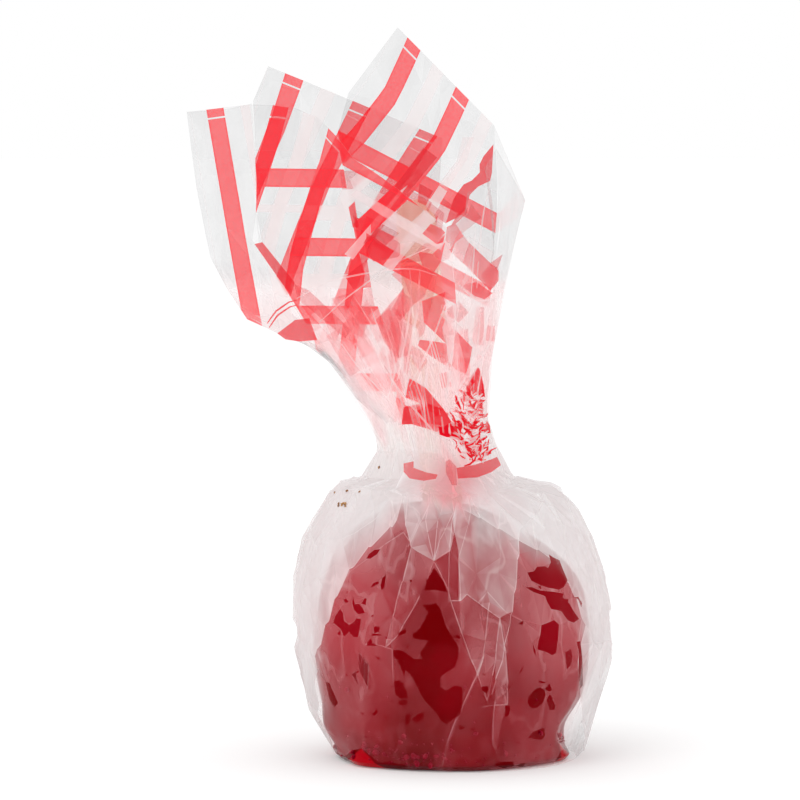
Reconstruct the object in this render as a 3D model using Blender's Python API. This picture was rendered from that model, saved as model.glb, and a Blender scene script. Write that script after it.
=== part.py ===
"""A toffee apple on its stick, in a clear bag that is taped round the stick and fans out above it.

Metres, +Z up. The origin is the middle of the flat foot that the filled bag stands on, and the
front faces -Y. Sizes below are in millimetres and are turned into metres as the meshes are made.
"""

import math

import bmesh
import bpy
from mathutils import Matrix, Vector

MM = 0.001

# The filled bag from its foot to the top of the taped neck: height, left, right, half depth.
BAG_STATIONS = (
    (0.0, -29.0, 31.0, 29.5),
    (1.4, -30.8, 32.6, 31.2),
    (11.0, -36.6, 35.4, 35.5),
    (28.0, -39.8, 40.2, 39.0),
    (44.0, -41.0, 38.4, 39.0),
    (56.0, -37.8, 34.4, 36.0),
    (66.0, -32.0, 29.0, 30.0),
    (70.6, -24.5, 20.5, 21.5),
    (74.0, -18.8, 13.2, 15.0),
    (79.0, -18.8, 9.8, 12.2),
    (84.0, -20.2, 7.4, 11.6),
    (88.0, -20.6, 7.8, 11.8),
)
BODY_HEIGHTS = (0.0, 1.4, 4.5, 9.0, 15.0, 22.0, 29.0, 36.0, 43.0, 49.0, 55.0, 60.0, 64.5, 68.0, 70.6, 72.4, 74.5)
NECK_HEIGHTS = (77.0, 79.0, 84.0, 88.0)
SHOULDER = 60.0         # gathers start here and deepen towards the neck
FACET_DEPTH = 0.9       # how far the slack sides of the bag wave in and out
GATHER_DEPTH = 1.1
GATHERS = 19

# The fan of loose film over the neck. Each fold runs from the neck to a corner of the mouth,
# and bows towards the point between: corner x, y, z, then bow x, y, z, from the neck's middle.
NECK_MIDDLE = Vector((-6.4, 0.0, 83.0))
FAN_FOLDS = (
    ((-61.0, -4.0, 80.5), (-54.0, -5.0, 14.0)),
    ((-44.6, -22.0, 82.6), (-38.0, -22.0, 24.0)),
    ((-34.5, -30.0, 82.2), (-24.0, -29.0, 34.0)),
    ((-23.3, -40.0, 75.2), (-12.0, -31.0, 36.0)),
    ((-9.9, -48.0, 64.5), (-3.0, -32.0, 32.0)),
    ((4.1, -56.0, 53.1), (6.0, -32.0, 26.0)),
    ((23.3, -28.0, 59.1), (15.0, -17.0, 28.0)),
    ((16.5, -8.0, 71.5), (13.5, -5.0, 36.0)),
    ((16.4, 8.0, 77.1), (13.0, 9.0, 38.0)),
    ((-8.0, 26.0, 101.8), (0.0, 22.0, 48.0)),
    ((-21.6, 20.0, 83.9), (-12.0, 20.0, 42.0)),
    ((-41.1, 14.0, 91.8), (-30.0, 18.0, 38.0)),
    ((-45.5, 4.0, 80.5), (-38.0, 8.0, 28.0)),
)
FAN_STEPS = 11          # rings of the fan over the neck
FAN_FLOOR_STEP = 5      # the ring where the hollow of the fan ends
FAN_WALL = 1.2
PLEAT_DEPTH = 0.13      # share of the fan's girth that the pleats take at its root
PLEATS = 15
RING_STEP = math.radians(4.2)

# A flat wooden lolly stick, its foot in the apple's core.
STICK_LENGTH = 114.0
STICK_WIDTH = 10.0
STICK_THICKNESS = 2.0
STICK_EDGE = 0.4
STICK_FOOT = Vector((0.5, 0.0, 28.0))
STICK_LEAN = math.radians(-5.5)
STICK_GAP = 0.3
ROUND_END_STEPS = 9

# Clear tape wound round the neck.
TAPE_HEIGHTS = (78.2, 86.2)
TAPE_GAP = 0.35
TAPE_THICKNESS = 0.5
TAPE_LAP = 0.35         # extra thickness where the end lies over the first turn
TAPE_LAP_FROM = math.radians(232.0)
TAPE_LAP_TO = math.radians(262.0)


def clear_scene():
    for obj in list(bpy.data.objects):
        bpy.data.objects.remove(obj, do_unlink=True)


def plain_material(name, colour, roughness, metallic=0.0, alpha=1.0):
    material = bpy.data.materials.new(name)
    material.use_nodes = True
    shader = material.node_tree.nodes["Principled BSDF"]
    shader.inputs["Base Color"].default_value = (*colour, 1.0)
    shader.inputs["Roughness"].default_value = roughness
    shader.inputs["Metallic"].default_value = metallic
    shader.inputs["Alpha"].default_value = alpha
    return material


def mesh_object(name, mesh_data, material):
    """Turns a finished bmesh, in millimetres, into a smooth shaded object in metres."""
    bmesh.ops.scale(mesh_data, vec=(MM, MM, MM), verts=mesh_data.verts)
    bmesh.ops.recalc_face_normals(mesh_data, faces=mesh_data.faces)
    mesh = bpy.data.meshes.new(name)
    mesh_data.to_mesh(mesh)
    mesh_data.free()
    mesh.shade_smooth()
    mesh.set_sharp_from_angle(angle=math.radians(40.0))
    if material:
        mesh.materials.append(material)
    obj = bpy.data.objects.new(name, mesh)
    bpy.context.scene.collection.objects.link(obj)
    return obj


def fade(value, start, end):
    """0 before start, 1 after end, and smooth between."""
    share = min(1.0, max(0.0, (value - start) / (end - start)))
    return share * share * (3.0 - 2.0 * share)


def station_at(height):
    """The bag's left, right and half depth at a height, on a smooth curve through the stations."""
    last = len(BAG_STATIONS) - 1
    low = 0
    while low < last - 1 and BAG_STATIONS[low + 1][0] <= height:
        low += 1
    before, start = BAG_STATIONS[max(0, low - 1)], BAG_STATIONS[low]
    end, after = BAG_STATIONS[low + 1], BAG_STATIONS[min(last, low + 2)]
    span = end[0] - start[0]
    share = (height - start[0]) / span
    values = []
    for index in (1, 2, 3):
        slope_in = (end[index] - before[index]) / (end[0] - before[0]) * span
        slope_out = (after[index] - start[index]) / (after[0] - start[0]) * span
        rise = end[index] - start[index]
        bend_in = slope_in - rise
        bend_out = rise - slope_out
        ease = share * (1.0 - share)
        values.append(start[index] + rise * share + ease * ((1.0 - share) * bend_in + share * bend_out))
    return values


def ring_angles():
    """Angles round the bag, with one at each fold of the fan and even steps between."""
    middle = sum((Vector(corner) for corner, bow in FAN_FOLDS), Vector()) / len(FAN_FOLDS)
    turns = [math.atan2(corner[1] - middle.y, corner[0] - middle.x) for corner, bow in FAN_FOLDS]
    angles = []
    places = []
    for index, start in enumerate(turns):
        gap = (turns[(index + 1) % len(turns)] - start) % math.tau
        steps = max(1, round(gap / RING_STEP))
        for step in range(steps):
            angles.append(start + gap * step / steps)
            places.append((index, step / steps))
    return angles, places


def bag_ring(height, angles, swell=0.0):
    """One ring of the filled bag: slack waves on the sides, and gathers from the shoulder up."""
    left, right, depth = station_at(height)
    middle = (left + right) / 2.0
    width = (right - left) / 2.0
    slack = FACET_DEPTH * fade(height, 2.0, 20.0) * (1.0 - fade(height, 58.0, 72.0))
    gather = GATHER_DEPTH * fade(height, SHOULDER, 72.0) * (1.0 - fade(height, 74.5, 78.0))
    points = []
    for angle in angles:
        wave = slack * (math.sin(5.0 * angle + 0.05 * height) + 0.6 * math.sin(9.0 * angle - 0.08 * height))
        wave += gather * math.cos(GATHERS * angle + 0.6 * math.sin(3.0 * angle))
        points.append(
            Vector(
                (
                    middle + (width + wave + swell) * math.cos(angle),
                    (depth + wave + swell) * math.sin(angle),
                    height,
                )
            )
        )
    return points


def fan_point(root, place, rise):
    """A point on the fan: rise goes from 0 at the neck to 1 at the mouth."""
    fold, share = place
    corner_a, bow_a = (Vector(values) for values in FAN_FOLDS[fold])
    corner_b, bow_b = (Vector(values) for values in FAN_FOLDS[(fold + 1) % len(FAN_FOLDS)])
    corner = NECK_MIDDLE + corner_a.lerp(corner_b, share)
    bow = NECK_MIDDLE + bow_a.lerp(bow_b, share)
    return root.lerp(bow, rise).lerp(bow.lerp(corner, rise), rise)


def fan_rings(roots, angles, places):
    rings = []
    for step in range(1, FAN_STEPS + 1):
        rise = step / FAN_STEPS
        ring = [fan_point(root, place, rise) for root, place in zip(roots, places)]
        middle = sum(ring, Vector()) / len(ring)
        depth = PLEAT_DEPTH * fade(rise, 0.0, 0.15) * (1.0 - 0.85 * fade(rise, 0.2, 0.9))
        for index, angle in enumerate(angles):
            pleat = 1.0 + depth * math.cos(PLEATS * angle + 0.8 * math.sin(2.0 * angle))
            ring[index] = middle + (ring[index] - middle) * pleat
        rings.append(ring)
    return rings


def shrunk(ring, wall):
    middle = sum(ring, Vector()) / len(ring)
    return [point + (middle - point).normalized() * wall for point in ring]


def add_rings(mesh_data, rings):
    """Skins a list of rings that all hold the same number of points."""
    rows = [[mesh_data.verts.new(point) for point in ring] for ring in rings]
    for lower, upper in zip(rows, rows[1:]):
        count = len(lower)
        for index in range(count):
            after = (index + 1) % count
            mesh_data.faces.new((lower[index], lower[after], upper[after], upper[index]))
    return rows


def build_bag(film):
    """The filled bag as one solid, hollow only where its fan is open above the gathers."""
    angles, places = ring_angles()
    rings = [bag_ring(height, angles) for height in BODY_HEIGHTS + NECK_HEIGHTS]
    outside = fan_rings(rings[-1], angles, places)
    inside = [shrunk(ring, FAN_WALL) for ring in reversed(outside[FAN_FLOOR_STEP:])]
    mesh_data = bmesh.new()
    rows = add_rings(mesh_data, rings + outside + inside)
    mesh_data.faces.new(rows[0])
    floor_row = rows[-1]
    floor_middle = sum((vert.co for vert in floor_row), Vector()) / len(floor_row)
    floor_vert = mesh_data.verts.new(floor_middle)
    for index, vert in enumerate(floor_row):
        mesh_data.faces.new((vert, floor_row[(index + 1) % len(floor_row)], floor_vert))
    return mesh_object("filled_bag", mesh_data, film)


def stick_outline(width, length):
    """A long strip with round ends, its foot at the origin, in the XZ plane."""
    radius = width / 2.0
    points = []
    for end, first in ((length - radius, 0.0), (radius, math.pi)):
        for step in range(ROUND_END_STEPS + 1):
            turn = first + math.pi * step / ROUND_END_STEPS
            points.append(Vector((radius * math.cos(turn), 0.0, end + radius * math.sin(turn))))
    return points


def stick_mesh(width, length, thickness, edge, foot_drop):
    mesh_data = bmesh.new()
    outline = [mesh_data.verts.new(point) for point in stick_outline(width, length)]
    face = mesh_data.faces.new(outline)
    pulled = bmesh.ops.extrude_face_region(mesh_data, geom=[face])
    moved = [item for item in pulled["geom"] if isinstance(item, bmesh.types.BMVert)]
    bmesh.ops.translate(mesh_data, vec=(0.0, thickness, 0.0), verts=moved)
    if edge:
        rims = [item for item in mesh_data.edges if abs(item.verts[0].co.y - item.verts[1].co.y) < 1e-6]
        bmesh.ops.bevel(mesh_data, geom=rims, offset=edge, segments=2, profile=0.5, affect="EDGES")
    lean = Matrix.Rotation(STICK_LEAN, 4, "Y")
    place = Matrix.Translation(STICK_FOOT) @ lean @ Matrix.Translation((0.0, -thickness / 2.0, -foot_drop))
    bmesh.ops.transform(mesh_data, matrix=place, verts=mesh_data.verts)
    return mesh_data


def build_stick(wood):
    mesh_data = stick_mesh(STICK_WIDTH, STICK_LENGTH, STICK_THICKNESS, STICK_EDGE, 0.0)
    return mesh_object("lolly_stick", mesh_data, wood)


def cut_stick_slot(bag):
    """Opens the slot that the stick stands in, from the hollow of the fan down to the core."""
    room = 2.0 * STICK_GAP
    width = STICK_WIDTH + room
    thickness = STICK_THICKNESS + room
    mesh_data = stick_mesh(width, STICK_LENGTH + room, thickness, 0.0, STICK_GAP)
    cutter = mesh_object("stick_slot_cutter", mesh_data, None)
    cutter.hide_render = True
    cutter.display_type = "WIRE"
    slot = bag.modifiers.new("stick_slot", "BOOLEAN")
    slot.operation = "DIFFERENCE"
    slot.solver = "EXACT"
    slot.object = cutter


def build_tape(tape):
    """A short sleeve round the neck, thicker where the tape's end laps over."""
    angles, places = ring_angles()
    inner = [bag_ring(height, angles, TAPE_GAP) for height in TAPE_HEIGHTS]
    outer = []
    for height in TAPE_HEIGHTS:
        plain = bag_ring(height, angles, TAPE_GAP + TAPE_THICKNESS)
        lapped = bag_ring(height, angles, TAPE_GAP + TAPE_THICKNESS + TAPE_LAP)
        ring = []
        for angle, thin, thick in zip(angles, plain, lapped):
            inside_lap = TAPE_LAP_FROM < angle % math.tau < TAPE_LAP_TO
            ring.append(thick if inside_lap else thin)
        outer.append(ring)
    mesh_data = bmesh.new()
    add_rings(mesh_data, [inner[0], inner[1], outer[1], outer[0], inner[0]])
    bmesh.ops.remove_doubles(mesh_data, verts=mesh_data.verts, dist=0.001)
    return mesh_object("neck_tape", mesh_data, tape)


def main():
    clear_scene()
    film = plain_material("clear_film", (0.86, 0.80, 0.79), 0.12, alpha=0.35)
    wood = plain_material("birch", (0.80, 0.62, 0.42), 0.65)
    tape = plain_material("clear_tape", (0.90, 0.89, 0.88), 0.15, alpha=0.35)
    bag = build_bag(film)
    build_stick(wood)
    cut_stick_slot(bag)
    build_tape(tape)


main()
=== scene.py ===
import bisect
import math
import random

import bmesh
import bpy
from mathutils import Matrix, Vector, noise
from mathutils.bvhtree import BVHTree
from mathutils.geometry import delaunay_2d_cdt


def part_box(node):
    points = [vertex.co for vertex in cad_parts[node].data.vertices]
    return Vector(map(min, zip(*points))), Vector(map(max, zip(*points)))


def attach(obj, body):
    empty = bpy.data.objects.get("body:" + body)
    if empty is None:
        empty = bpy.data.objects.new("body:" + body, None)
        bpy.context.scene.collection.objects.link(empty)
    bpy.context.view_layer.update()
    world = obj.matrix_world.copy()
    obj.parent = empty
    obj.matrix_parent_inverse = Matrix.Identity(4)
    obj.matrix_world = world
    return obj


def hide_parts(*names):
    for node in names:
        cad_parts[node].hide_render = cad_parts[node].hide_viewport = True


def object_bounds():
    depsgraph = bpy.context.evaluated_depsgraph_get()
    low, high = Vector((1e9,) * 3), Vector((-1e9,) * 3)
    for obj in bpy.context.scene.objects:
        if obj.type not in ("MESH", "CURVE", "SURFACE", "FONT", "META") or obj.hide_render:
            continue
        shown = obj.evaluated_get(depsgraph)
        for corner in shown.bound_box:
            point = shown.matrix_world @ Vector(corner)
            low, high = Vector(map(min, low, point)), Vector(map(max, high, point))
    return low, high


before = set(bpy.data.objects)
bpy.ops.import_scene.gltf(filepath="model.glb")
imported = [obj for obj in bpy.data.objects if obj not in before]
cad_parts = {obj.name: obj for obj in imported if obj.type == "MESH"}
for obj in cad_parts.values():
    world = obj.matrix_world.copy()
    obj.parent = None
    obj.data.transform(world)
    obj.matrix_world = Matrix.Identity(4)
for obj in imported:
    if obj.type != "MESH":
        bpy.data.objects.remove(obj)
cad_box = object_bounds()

# A toffee apple stands in a clear printed bag. The bag is gathered and taped above the apple,
# and its mouth fans out to the left. Sizes are in millimetres, and MM turns them into metres.
MM = 0.001

# ---------------------------------------------------------------- sizes

tape_low, tape_high = (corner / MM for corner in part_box("neck_tape"))
NECK = (tape_low + tape_high) / 2

# The bag round the apple: height, left and right reach, and half depth.
BAG_STATIONS = (
    (0.0, -29.0, 31.0, 29.5), (1.4, -30.8, 32.6, 31.2), (11.0, -36.6, 35.4, 35.5),
    (28.0, -39.8, 40.2, 39.0), (44.0, -41.0, 38.4, 39.0), (56.0, -37.8, 34.4, 36.0),
    (64.5, -32.4, 30.0, 31.0), (68.8, -29.8, 25.2, 24.5), (69.5, -28.5, 17.0, 23.0),
    (71.0, -22.6, 14.4, 20.0), (73.2, -18.9, 12.5, 16.0), (79.0, -18.8, 9.8, 12.2),
    (84.0, -20.2, 7.4, 11.6), (87.0, -20.4, 7.7, 11.7))
# Where the film stands out in an ear: angle, height, width in degrees, reach up and down, and how far.
EARS = ((95.0, 69.0, 26.0, 4.0, 3.0), (52.0, 67.0, 20.0, 5.0, 2.0), (-150.0, 67.0, 18.0, 4.0, 1.2))
# How wide the film round the apple is, laid flat and cut along the back.
FLAT_WIDTH = 236.0

# The coated apple: height and half width, from the flat foot up to the dimple.
APPLE_PROFILE = (
    (0.0, 0.0), (0.0, 27.6), (0.5, 29.0), (1.4, 29.8), (2.3, 29.6), (3.2, 29.1), (5.5, 29.8),
    (9.0, 30.9), (14.0, 32.4), (17.0, 33.4), (22.0, 34.4), (28.0, 34.7), (33.0, 34.5), (41.0, 33.4),
    (46.0, 31.6), (50.0, 29.4), (53.8, 26.2), (57.6, 21.6), (60.5, 17.4), (62.2, 14.4), (63.6, 10.8),
    (64.3, 7.0), (63.6, 3.4), (62.8, 0.0),
)

# Bright thin corners of sugar at the foot: angle, half width and height. Those at the front flare out.
FRONT_FEET = ((-139, 7.0, 4.8), (-20, 5.0, 4.8))
BRIGHT_FEET = FRONT_FEET + ((35, 3.4, 3.0), (121, 5.0, 4.0), (172, 3.0, 3.0))
FOOT_FLARE = 1.5

# The printed check: from one red stripe to the next, and how wide its reds and whites are.
PERIOD = 17.5
RED_WIDTH = 4.7
WHITE_WIDTH = 3.8
# A thin line without ink runs this far below the rim.
BARE_LINE = 2.45
# What a place without print has for its distance across or up from a red stripe.
UNPRINTED = -60.0
CREASE_WIDTH = 0.15

# ---------------------------------------------------------------- small tools


class Chain:
    """A run of points, read by its share of the whole length."""

    def __init__(self, points):
        self.points = [Vector(point) for point in points]
        self.reach = [0.0]
        for one, two in zip(self.points, self.points[1:]):
            self.reach.append(self.reach[-1] + (two - one).length)

    def at(self, share):
        wanted = min(max(share, 0.0), 1.0) * self.reach[-1]
        step = min(max(bisect.bisect_right(self.reach, wanted), 1), len(self.points) - 1)
        before, after = self.reach[step - 1], self.reach[step]
        return self.points[step - 1].lerp(self.points[step], (wanted - before) / (after - before))


def between(rows, value):
    """What rows hold at a value of their first column: straight between rows, and on past the ends."""
    step = min(max(bisect.bisect_right([row[0] for row in rows], value), 1), len(rows) - 1)
    low, high = rows[step - 1], rows[step]
    share = (value - low[0]) / (high[0] - low[0])
    return [one + (two - one) * share for one, two in zip(low[1:], high[1:])]


def fade(low, high, value):
    """0 below low, 1 above high and a smooth rise between them."""
    share = min(max((value - low) / (high - low), 0.0), 1.0)
    return share * share * (3 - 2 * share)


def wobble(point, size, seed=0.0):
    """A smooth random number about 0 for a place, with bumps of about this size."""
    return noise.noise(Vector(point) / size + Vector((seed, seed * 0.7, -seed)))


def turned(angle, middle):
    """An angle less the middle one, between -180 and 180 degrees."""
    return (angle - middle + 180) % 360 - 180


def in_scene(name, data):
    """A new object for this mesh, lamp or camera."""
    made = bpy.data.objects.new(name, data)
    bpy.context.scene.collection.objects.link(made)
    return made


def mesh_piece(name, points, faces, material, corners=None, smooth_below=30.0):
    """A mesh object from points in millimetres. corners holds values for each face corner."""
    mesh = bpy.data.meshes.new(name)
    mesh.from_pydata([Vector(point) * MM for point in points], [], faces)
    for key, values in (corners or {}).items():
        mesh.attributes.new(key, "FLOAT", "CORNER").data.foreach_set("value", values)
    mesh.materials.append(material)
    mesh.shade_smooth()
    mesh.set_sharp_from_angle(angle=math.radians(smooth_below))
    return in_scene(name, mesh)


# ---------------------------------------------------------------- finishes


class Amount:
    """A number that nodes work out at each place, for use in sums."""

    def __init__(self, nodes, socket):
        self.nodes, self.socket = nodes, socket

    def __add__(self, other):
        return self.nodes.math("ADD", self, other)

    def __sub__(self, other):
        return self.nodes.math("SUBTRACT", self, other)

    def __rsub__(self, other):
        return self.nodes.math("SUBTRACT", other, self)

    def __mul__(self, other):
        return self.nodes.math("MULTIPLY", self, other)

    def __lt__(self, other):
        return self.nodes.math("LESS_THAN", self, other)

    def __gt__(self, other):
        return self.nodes.math("GREATER_THAN", self, other)

    def __abs__(self):
        return self.nodes.math("ABSOLUTE", self)


class Nodes:
    """Short calls for the nodes of a tree."""

    def __init__(self, tree):
        self.tree = tree
        tree.nodes.clear()

    def node(self, kind, feeds=(), **settings):
        """A node. feeds holds a number, an amount, a socket or a node for each of its inputs."""
        new = self.tree.nodes.new(kind)
        for key, value in settings.items():
            setattr(new, key, value)
        for key, value in dict(feeds).items():
            if isinstance(value, Amount):
                value = value.socket
            if isinstance(value, bpy.types.Node):
                value = value.outputs[0]
            if isinstance(value, bpy.types.NodeSocket):
                self.tree.links.new(value, new.inputs[key])
            else:
                new.inputs[key].default_value = value
        return new

    def amount(self, kind, feeds, output=0, **settings):
        return Amount(self, self.node(kind, feeds, **settings).outputs[output])

    def math(self, operation, one, two=0.0, clamp=False):
        return self.amount("ShaderNodeMath", {0: one, 1: two}, operation=operation, use_clamp=clamp)

    def most(self, one, two):
        return self.math("MAXIMUM", one, two)

    def parts(self, vector):
        """How far a vector goes across, back and up."""
        return [Amount(self, part) for part in self.node("ShaderNodeSeparateXYZ", {0: vector}).outputs]

    def rise(self, value, low, high, least=0.0, most=1.0):
        """least below low, most above high and a smooth rise between them."""
        feeds = {"Value": value, "From Min": low, "From Max": high, "To Min": least, "To Max": most}
        return self.amount("ShaderNodeMapRange", feeds, interpolation_type="SMOOTHSTEP")


class Finish(Nodes):
    """A material with short calls for its pattern."""

    def __init__(self, name):
        self.material = bpy.data.materials.new(name)
        self.material.use_nodes = True
        super().__init__(self.material.node_tree)

    def value(self, name):
        return self.amount("ShaderNodeAttribute", {}, "Fac", attribute_name=name)

    def place(self):
        """The place on the object, in millimetres."""
        coordinates = self.node("ShaderNodeTexCoord").outputs["Object"]
        return self.node("ShaderNodeMapping", {"Vector": coordinates, "Scale": (1 / MM, 1 / MM, 1 / MM)})

    def grain(self, place, size, detail=2.0, rough=0.5, stretch=(1, 1, 1)):
        """Noise with bumps of about this size, in the units of the place."""
        scale = tuple(share / size for share in stretch)
        moved = self.node("ShaderNodeMapping", {"Vector": place, "Scale": scale})
        feeds = {"Vector": moved, "Scale": 1.0, "Detail": detail, "Roughness": rough}
        return self.amount("ShaderNodeTexNoise", feeds)

    def along(self, place, way):
        """How far a place lies along a way."""
        return self.amount("ShaderNodeVectorMath", {0: place, 1: way}, "Value", operation="DOT_PRODUCT")

    def blend(self, share, one, two):
        """A colour between two colours."""
        return self.node("ShaderNodeMix", {0: share, 6: one, 7: two}, data_type="RGBA").outputs[2]

    def bump(self, height, strength, distance):
        return self.node("ShaderNodeBump", {"Height": height, "Strength": strength, "Distance": distance})

    def show(self, shader):
        self.node("ShaderNodeOutputMaterial", {"Surface": shader})
        return self.material

    def paint(self, colour, roughness, **more):
        """Ends the finish with one plain surface. more holds its other settings by name."""
        feeds = {"Base Color": colour, "Roughness": roughness}
        feeds.update((key.replace("_", " "), value) for key, value in more.items())
        return self.show(self.node("ShaderNodeBsdfPrincipled", feeds))


RED_INK = (0.94, 0.0, 0.014, 1)
# A darker red for print in the gathered folds: partly more layers of ink, partly painted shade.
LAYERED_AND_SHADED_INK = (0.78, 0.0, 0.014, 1)
WHITE_INK = (0.90, 0.79, 0.79, 1)
CLEAR_GREY = (0.26, 0.26, 0.27, 1)
MILKY = (0.92, 0.915, 0.915, 1)
FAN_MILKY = (0.86, 0.81, 0.81, 1)
# The two pinks below are painted glow of the red candy and print seen through the milky film.
PINK_GLOW = (0.95, 0.16, 0.20, 1)
FAN_PINK_GLOW = (0.89, 0.155, 0.185, 1)


def check_print(finish):
    """Stripes along and bands across, as shares of red and of white ink.

    across and level are the millimetres from a red middle, and edge those below the rim. until is
    where the print ends, and since is where the lower bands start.
    """
    reds, whites = [], []
    across, level, ink = finish.value("across"), finish.value("level"), finish.value("ink")
    red_edge, white_edge = RED_WIDTH / 2, PERIOD / 2 - WHITE_WIDTH / 2
    for way in (across, level):
        off = finish.math("PINGPONG", way, PERIOD / 2)
        red = finish.rise(off, red_edge - 0.06, red_edge + 0.06, 1.0, 0.0)
        inner = finish.rise(off, red_edge - 0.5, red_edge - 0.35, 0.93, 1.0)
        printed = finish.rise(way, -PERIOD * 0.4, -PERIOD * 0.4 + 0.1) * (way < finish.value("until"))
        if way is level:
            missing = (across < finish.value("since")) * (level > PERIOD / 2)
            printed = finish.math("SUBTRACT", printed, missing, clamp=True)
        reds.append(red * inner * printed)
        whites.append(finish.rise(off, white_edge - 0.15, white_edge + 0.15) * printed)
    line = finish.rise(abs(finish.value("edge") - BARE_LINE), 0.17, 0.24)
    red = (finish.most(*reds) + reds[0] * reds[1] * 0.08) * line * ink
    white = finish.most(*whites) * ink * finish.math("SUBTRACT", 1.0, red, clamp=True)
    return red, white


def inked(finish, place, veil, tint, red, white, red_ink, hiding):
    """The colour and cover of film with shares of red and white ink on it.

    hiding is how much of the ink the veil takes away.
    """
    spots = finish.grain(place, 0.6, detail=1.0)
    red = red * finish.rise(spots, 0.3, 0.7, 0.81, 0.87)
    white = white * 0.42
    ink = finish.most(red, white)
    red_share = finish.math("DIVIDE", red, finish.most(red + white, 0.001))
    clear = (1.0 - veil) * finish.math("SUBTRACT", 1.0, ink, clamp=True)
    alpha = finish.math("SUBTRACT", 1.0, clear, clamp=True)
    shown = ink * (1.0 - veil * hiding)
    part = finish.math("DIVIDE", shown, finish.most(alpha, 0.001), clamp=True)
    return finish.blend(part, tint, finish.blend(red_share, WHITE_INK, red_ink)), alpha


def film_shader(finish, red=None, white=None, wet=None, above=False, red_ink=RED_INK, fan=False):
    """Clear film: a thin veil, ink on it, and a gloss that grows towards its edges.

    wet is where the film sticks to the coat, and above says that its ink lies over the veil.
    """
    milk, glow_red, milk_from = (FAN_MILKY, FAN_PINK_GLOW, 0.22) if fan else (MILKY, PINK_GLOW, 0.13)
    place = finish.place()
    # The crease gleam is a painted highlight along the folds, added to the milky veil.
    crease_gleam, blush = finish.value("crease_gleam") * 0.5, finish.value("blush")
    ripple = finish.grain(place, 7.0, detail=3.0, stretch=(1, 1, 0.4))
    veil = finish.value("haze") * finish.rise(ripple, 0.3, 0.7, 0.86, 1.14)
    veil = finish.math("ADD", veil, crease_gleam, clamp=True)
    if wet:
        # Soft lighter lines round the stuck places: a painted gleam of the film's contact edges.
        swirl = finish.grain(place, 11.0, detail=2.5, stretch=(1, 1, 0.4))
        veil = veil + finish.rise(abs(swirl - 0.5), 0.0, 0.03, 0.10, 0.0)
        veil = finish.math("ADD", veil, finish.rise(swirl, 0.5, 0.75, 0.0, 0.10), clamp=True)
        veil = veil * finish.most(1.0 - wet, crease_gleam)
    milky = finish.most(finish.rise(veil, milk_from, milk_from + 0.21), finish.rise(blush, 0.02, 0.16))
    # The pink is a painted glow of the red candy and print behind the film.
    pink = blush * finish.rise(veil, 0.12, 0.8, 1.0, 0.20)
    tint = finish.blend(pink, finish.blend(milky, CLEAR_GREY, milk), glow_red)
    alpha = veil
    if red:
        hiding = 0.1 if above else finish.rise(veil, 0.25, 0.5, 0.1, 0.6)
        tint, alpha = inked(finish, place, veil, tint, red, white, red_ink, hiding)
    front = finish.node("ShaderNodeBsdfPrincipled", {
        "Base Color": tint, "Roughness": 0.35, "Specular IOR Level": 0.1})
    behind = finish.node("ShaderNodeBsdfTranslucent", {"Color": tint})
    body = finish.node("ShaderNodeMixShader", {0: 0.45, 1: front, 2: behind})
    clear = finish.node("ShaderNodeBsdfTransparent", {"Color": (1, 1, 1, 1)})
    sheet = finish.node("ShaderNodeMixShader", {0: alpha, 1: clear, 2: body})
    normal = finish.bump(finish.grain(place, 6.0, detail=1.5), 0.06, 0.1 * MM)
    mirror = finish.node("ShaderNodeBsdfAnisotropic", {
        "Color": (1, 1, 1, 1), "Roughness": 0.16, "Normal": normal})
    facing = finish.amount("ShaderNodeLayerWeight", {"Blend": 0.5}, "Facing")
    shine = finish.math("POWER", facing, 4.0) * 0.22 + 0.008
    if wet:
        shine = shine * (1.0 - wet * 0.9)
    return finish.show(finish.node("ShaderNodeMixShader", {0: shine, 1: sheet, 2: mirror}))


def printed_film(name):
    finish = Finish(name)
    red, white = check_print(finish)
    return film_shader(finish, red, white, fan=True)


def band_film(name):
    """Film that is red all over, for the parts of the print that lie in folds of their own."""
    finish = Finish(name)
    return film_shader(finish, finish.value("red"), 0.0, above=True, red_ink=LAYERED_AND_SHADED_INK, fan=True)


def bag_film():
    finish = Finish("film_over_the_apple")
    return film_shader(finish, wet=finish.value("wet"))


def candy_coat():
    """Boiled sugar: deep red, brighter where it is thin at the foot, with a hard wet gloss."""
    finish = Finish("red_candy_coat")
    place = finish.place()
    cloud = finish.rise(finish.grain(place, 16.0, detail=3.0), 0.35, 0.65)
    shade = finish.blend(cloud, (0.145, 0.0001, 0.001, 1), (0.195, 0.0003, 0.003, 1))
    aside, _, high = finish.parts(place)
    # Painted shade: the coat goes dark along its lowest two millimetres, where it meets the floor.
    shade = finish.blend(finish.rise(high, 0.8, 2.4, 0.7, 0.0), shade, (0.06, 0.0, 0.002, 1))
    glow = 0.0
    for angle, wide, tall in BRIGHT_FEET:
        turn = math.radians(angle)
        along = finish.along(place, (-math.sin(turn), math.cos(turn), 0))
        ahead = finish.along(place, (math.cos(turn), math.sin(turn), 0))
        under = tall - abs(along) * (tall / wide) - high
        glow = finish.most(glow, finish.rise(under, -0.2, 0.2) * (ahead > 5.0))
    # Lighter red towards the upper sides: partly a thinner coat there, partly painted light where the
    # shoulders face up to the lamp.
    thin_and_lit = finish.rise(abs(aside), 12.0, 26.0) * finish.rise(high, 18.0, 34.0, 0.0, 0.75)
    shade = finish.blend(thin_and_lit, shade, (0.30, 0.001, 0.008, 1))
    colour = finish.blend(glow, shade, (0.42, 0.0, 0.006, 1))
    drip = finish.grain(place, 11.0, detail=2.0, stretch=(1, 1, 0.35))
    rough = finish.rise(finish.grain(place, 3.0, detail=3.0), 0.3, 0.8, 0.06, 0.16)
    return finish.paint(colour, rough, Normal=finish.bump(drip, 0.25, 1.2 * MM), Specular_IOR_Level=0.03)


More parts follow.
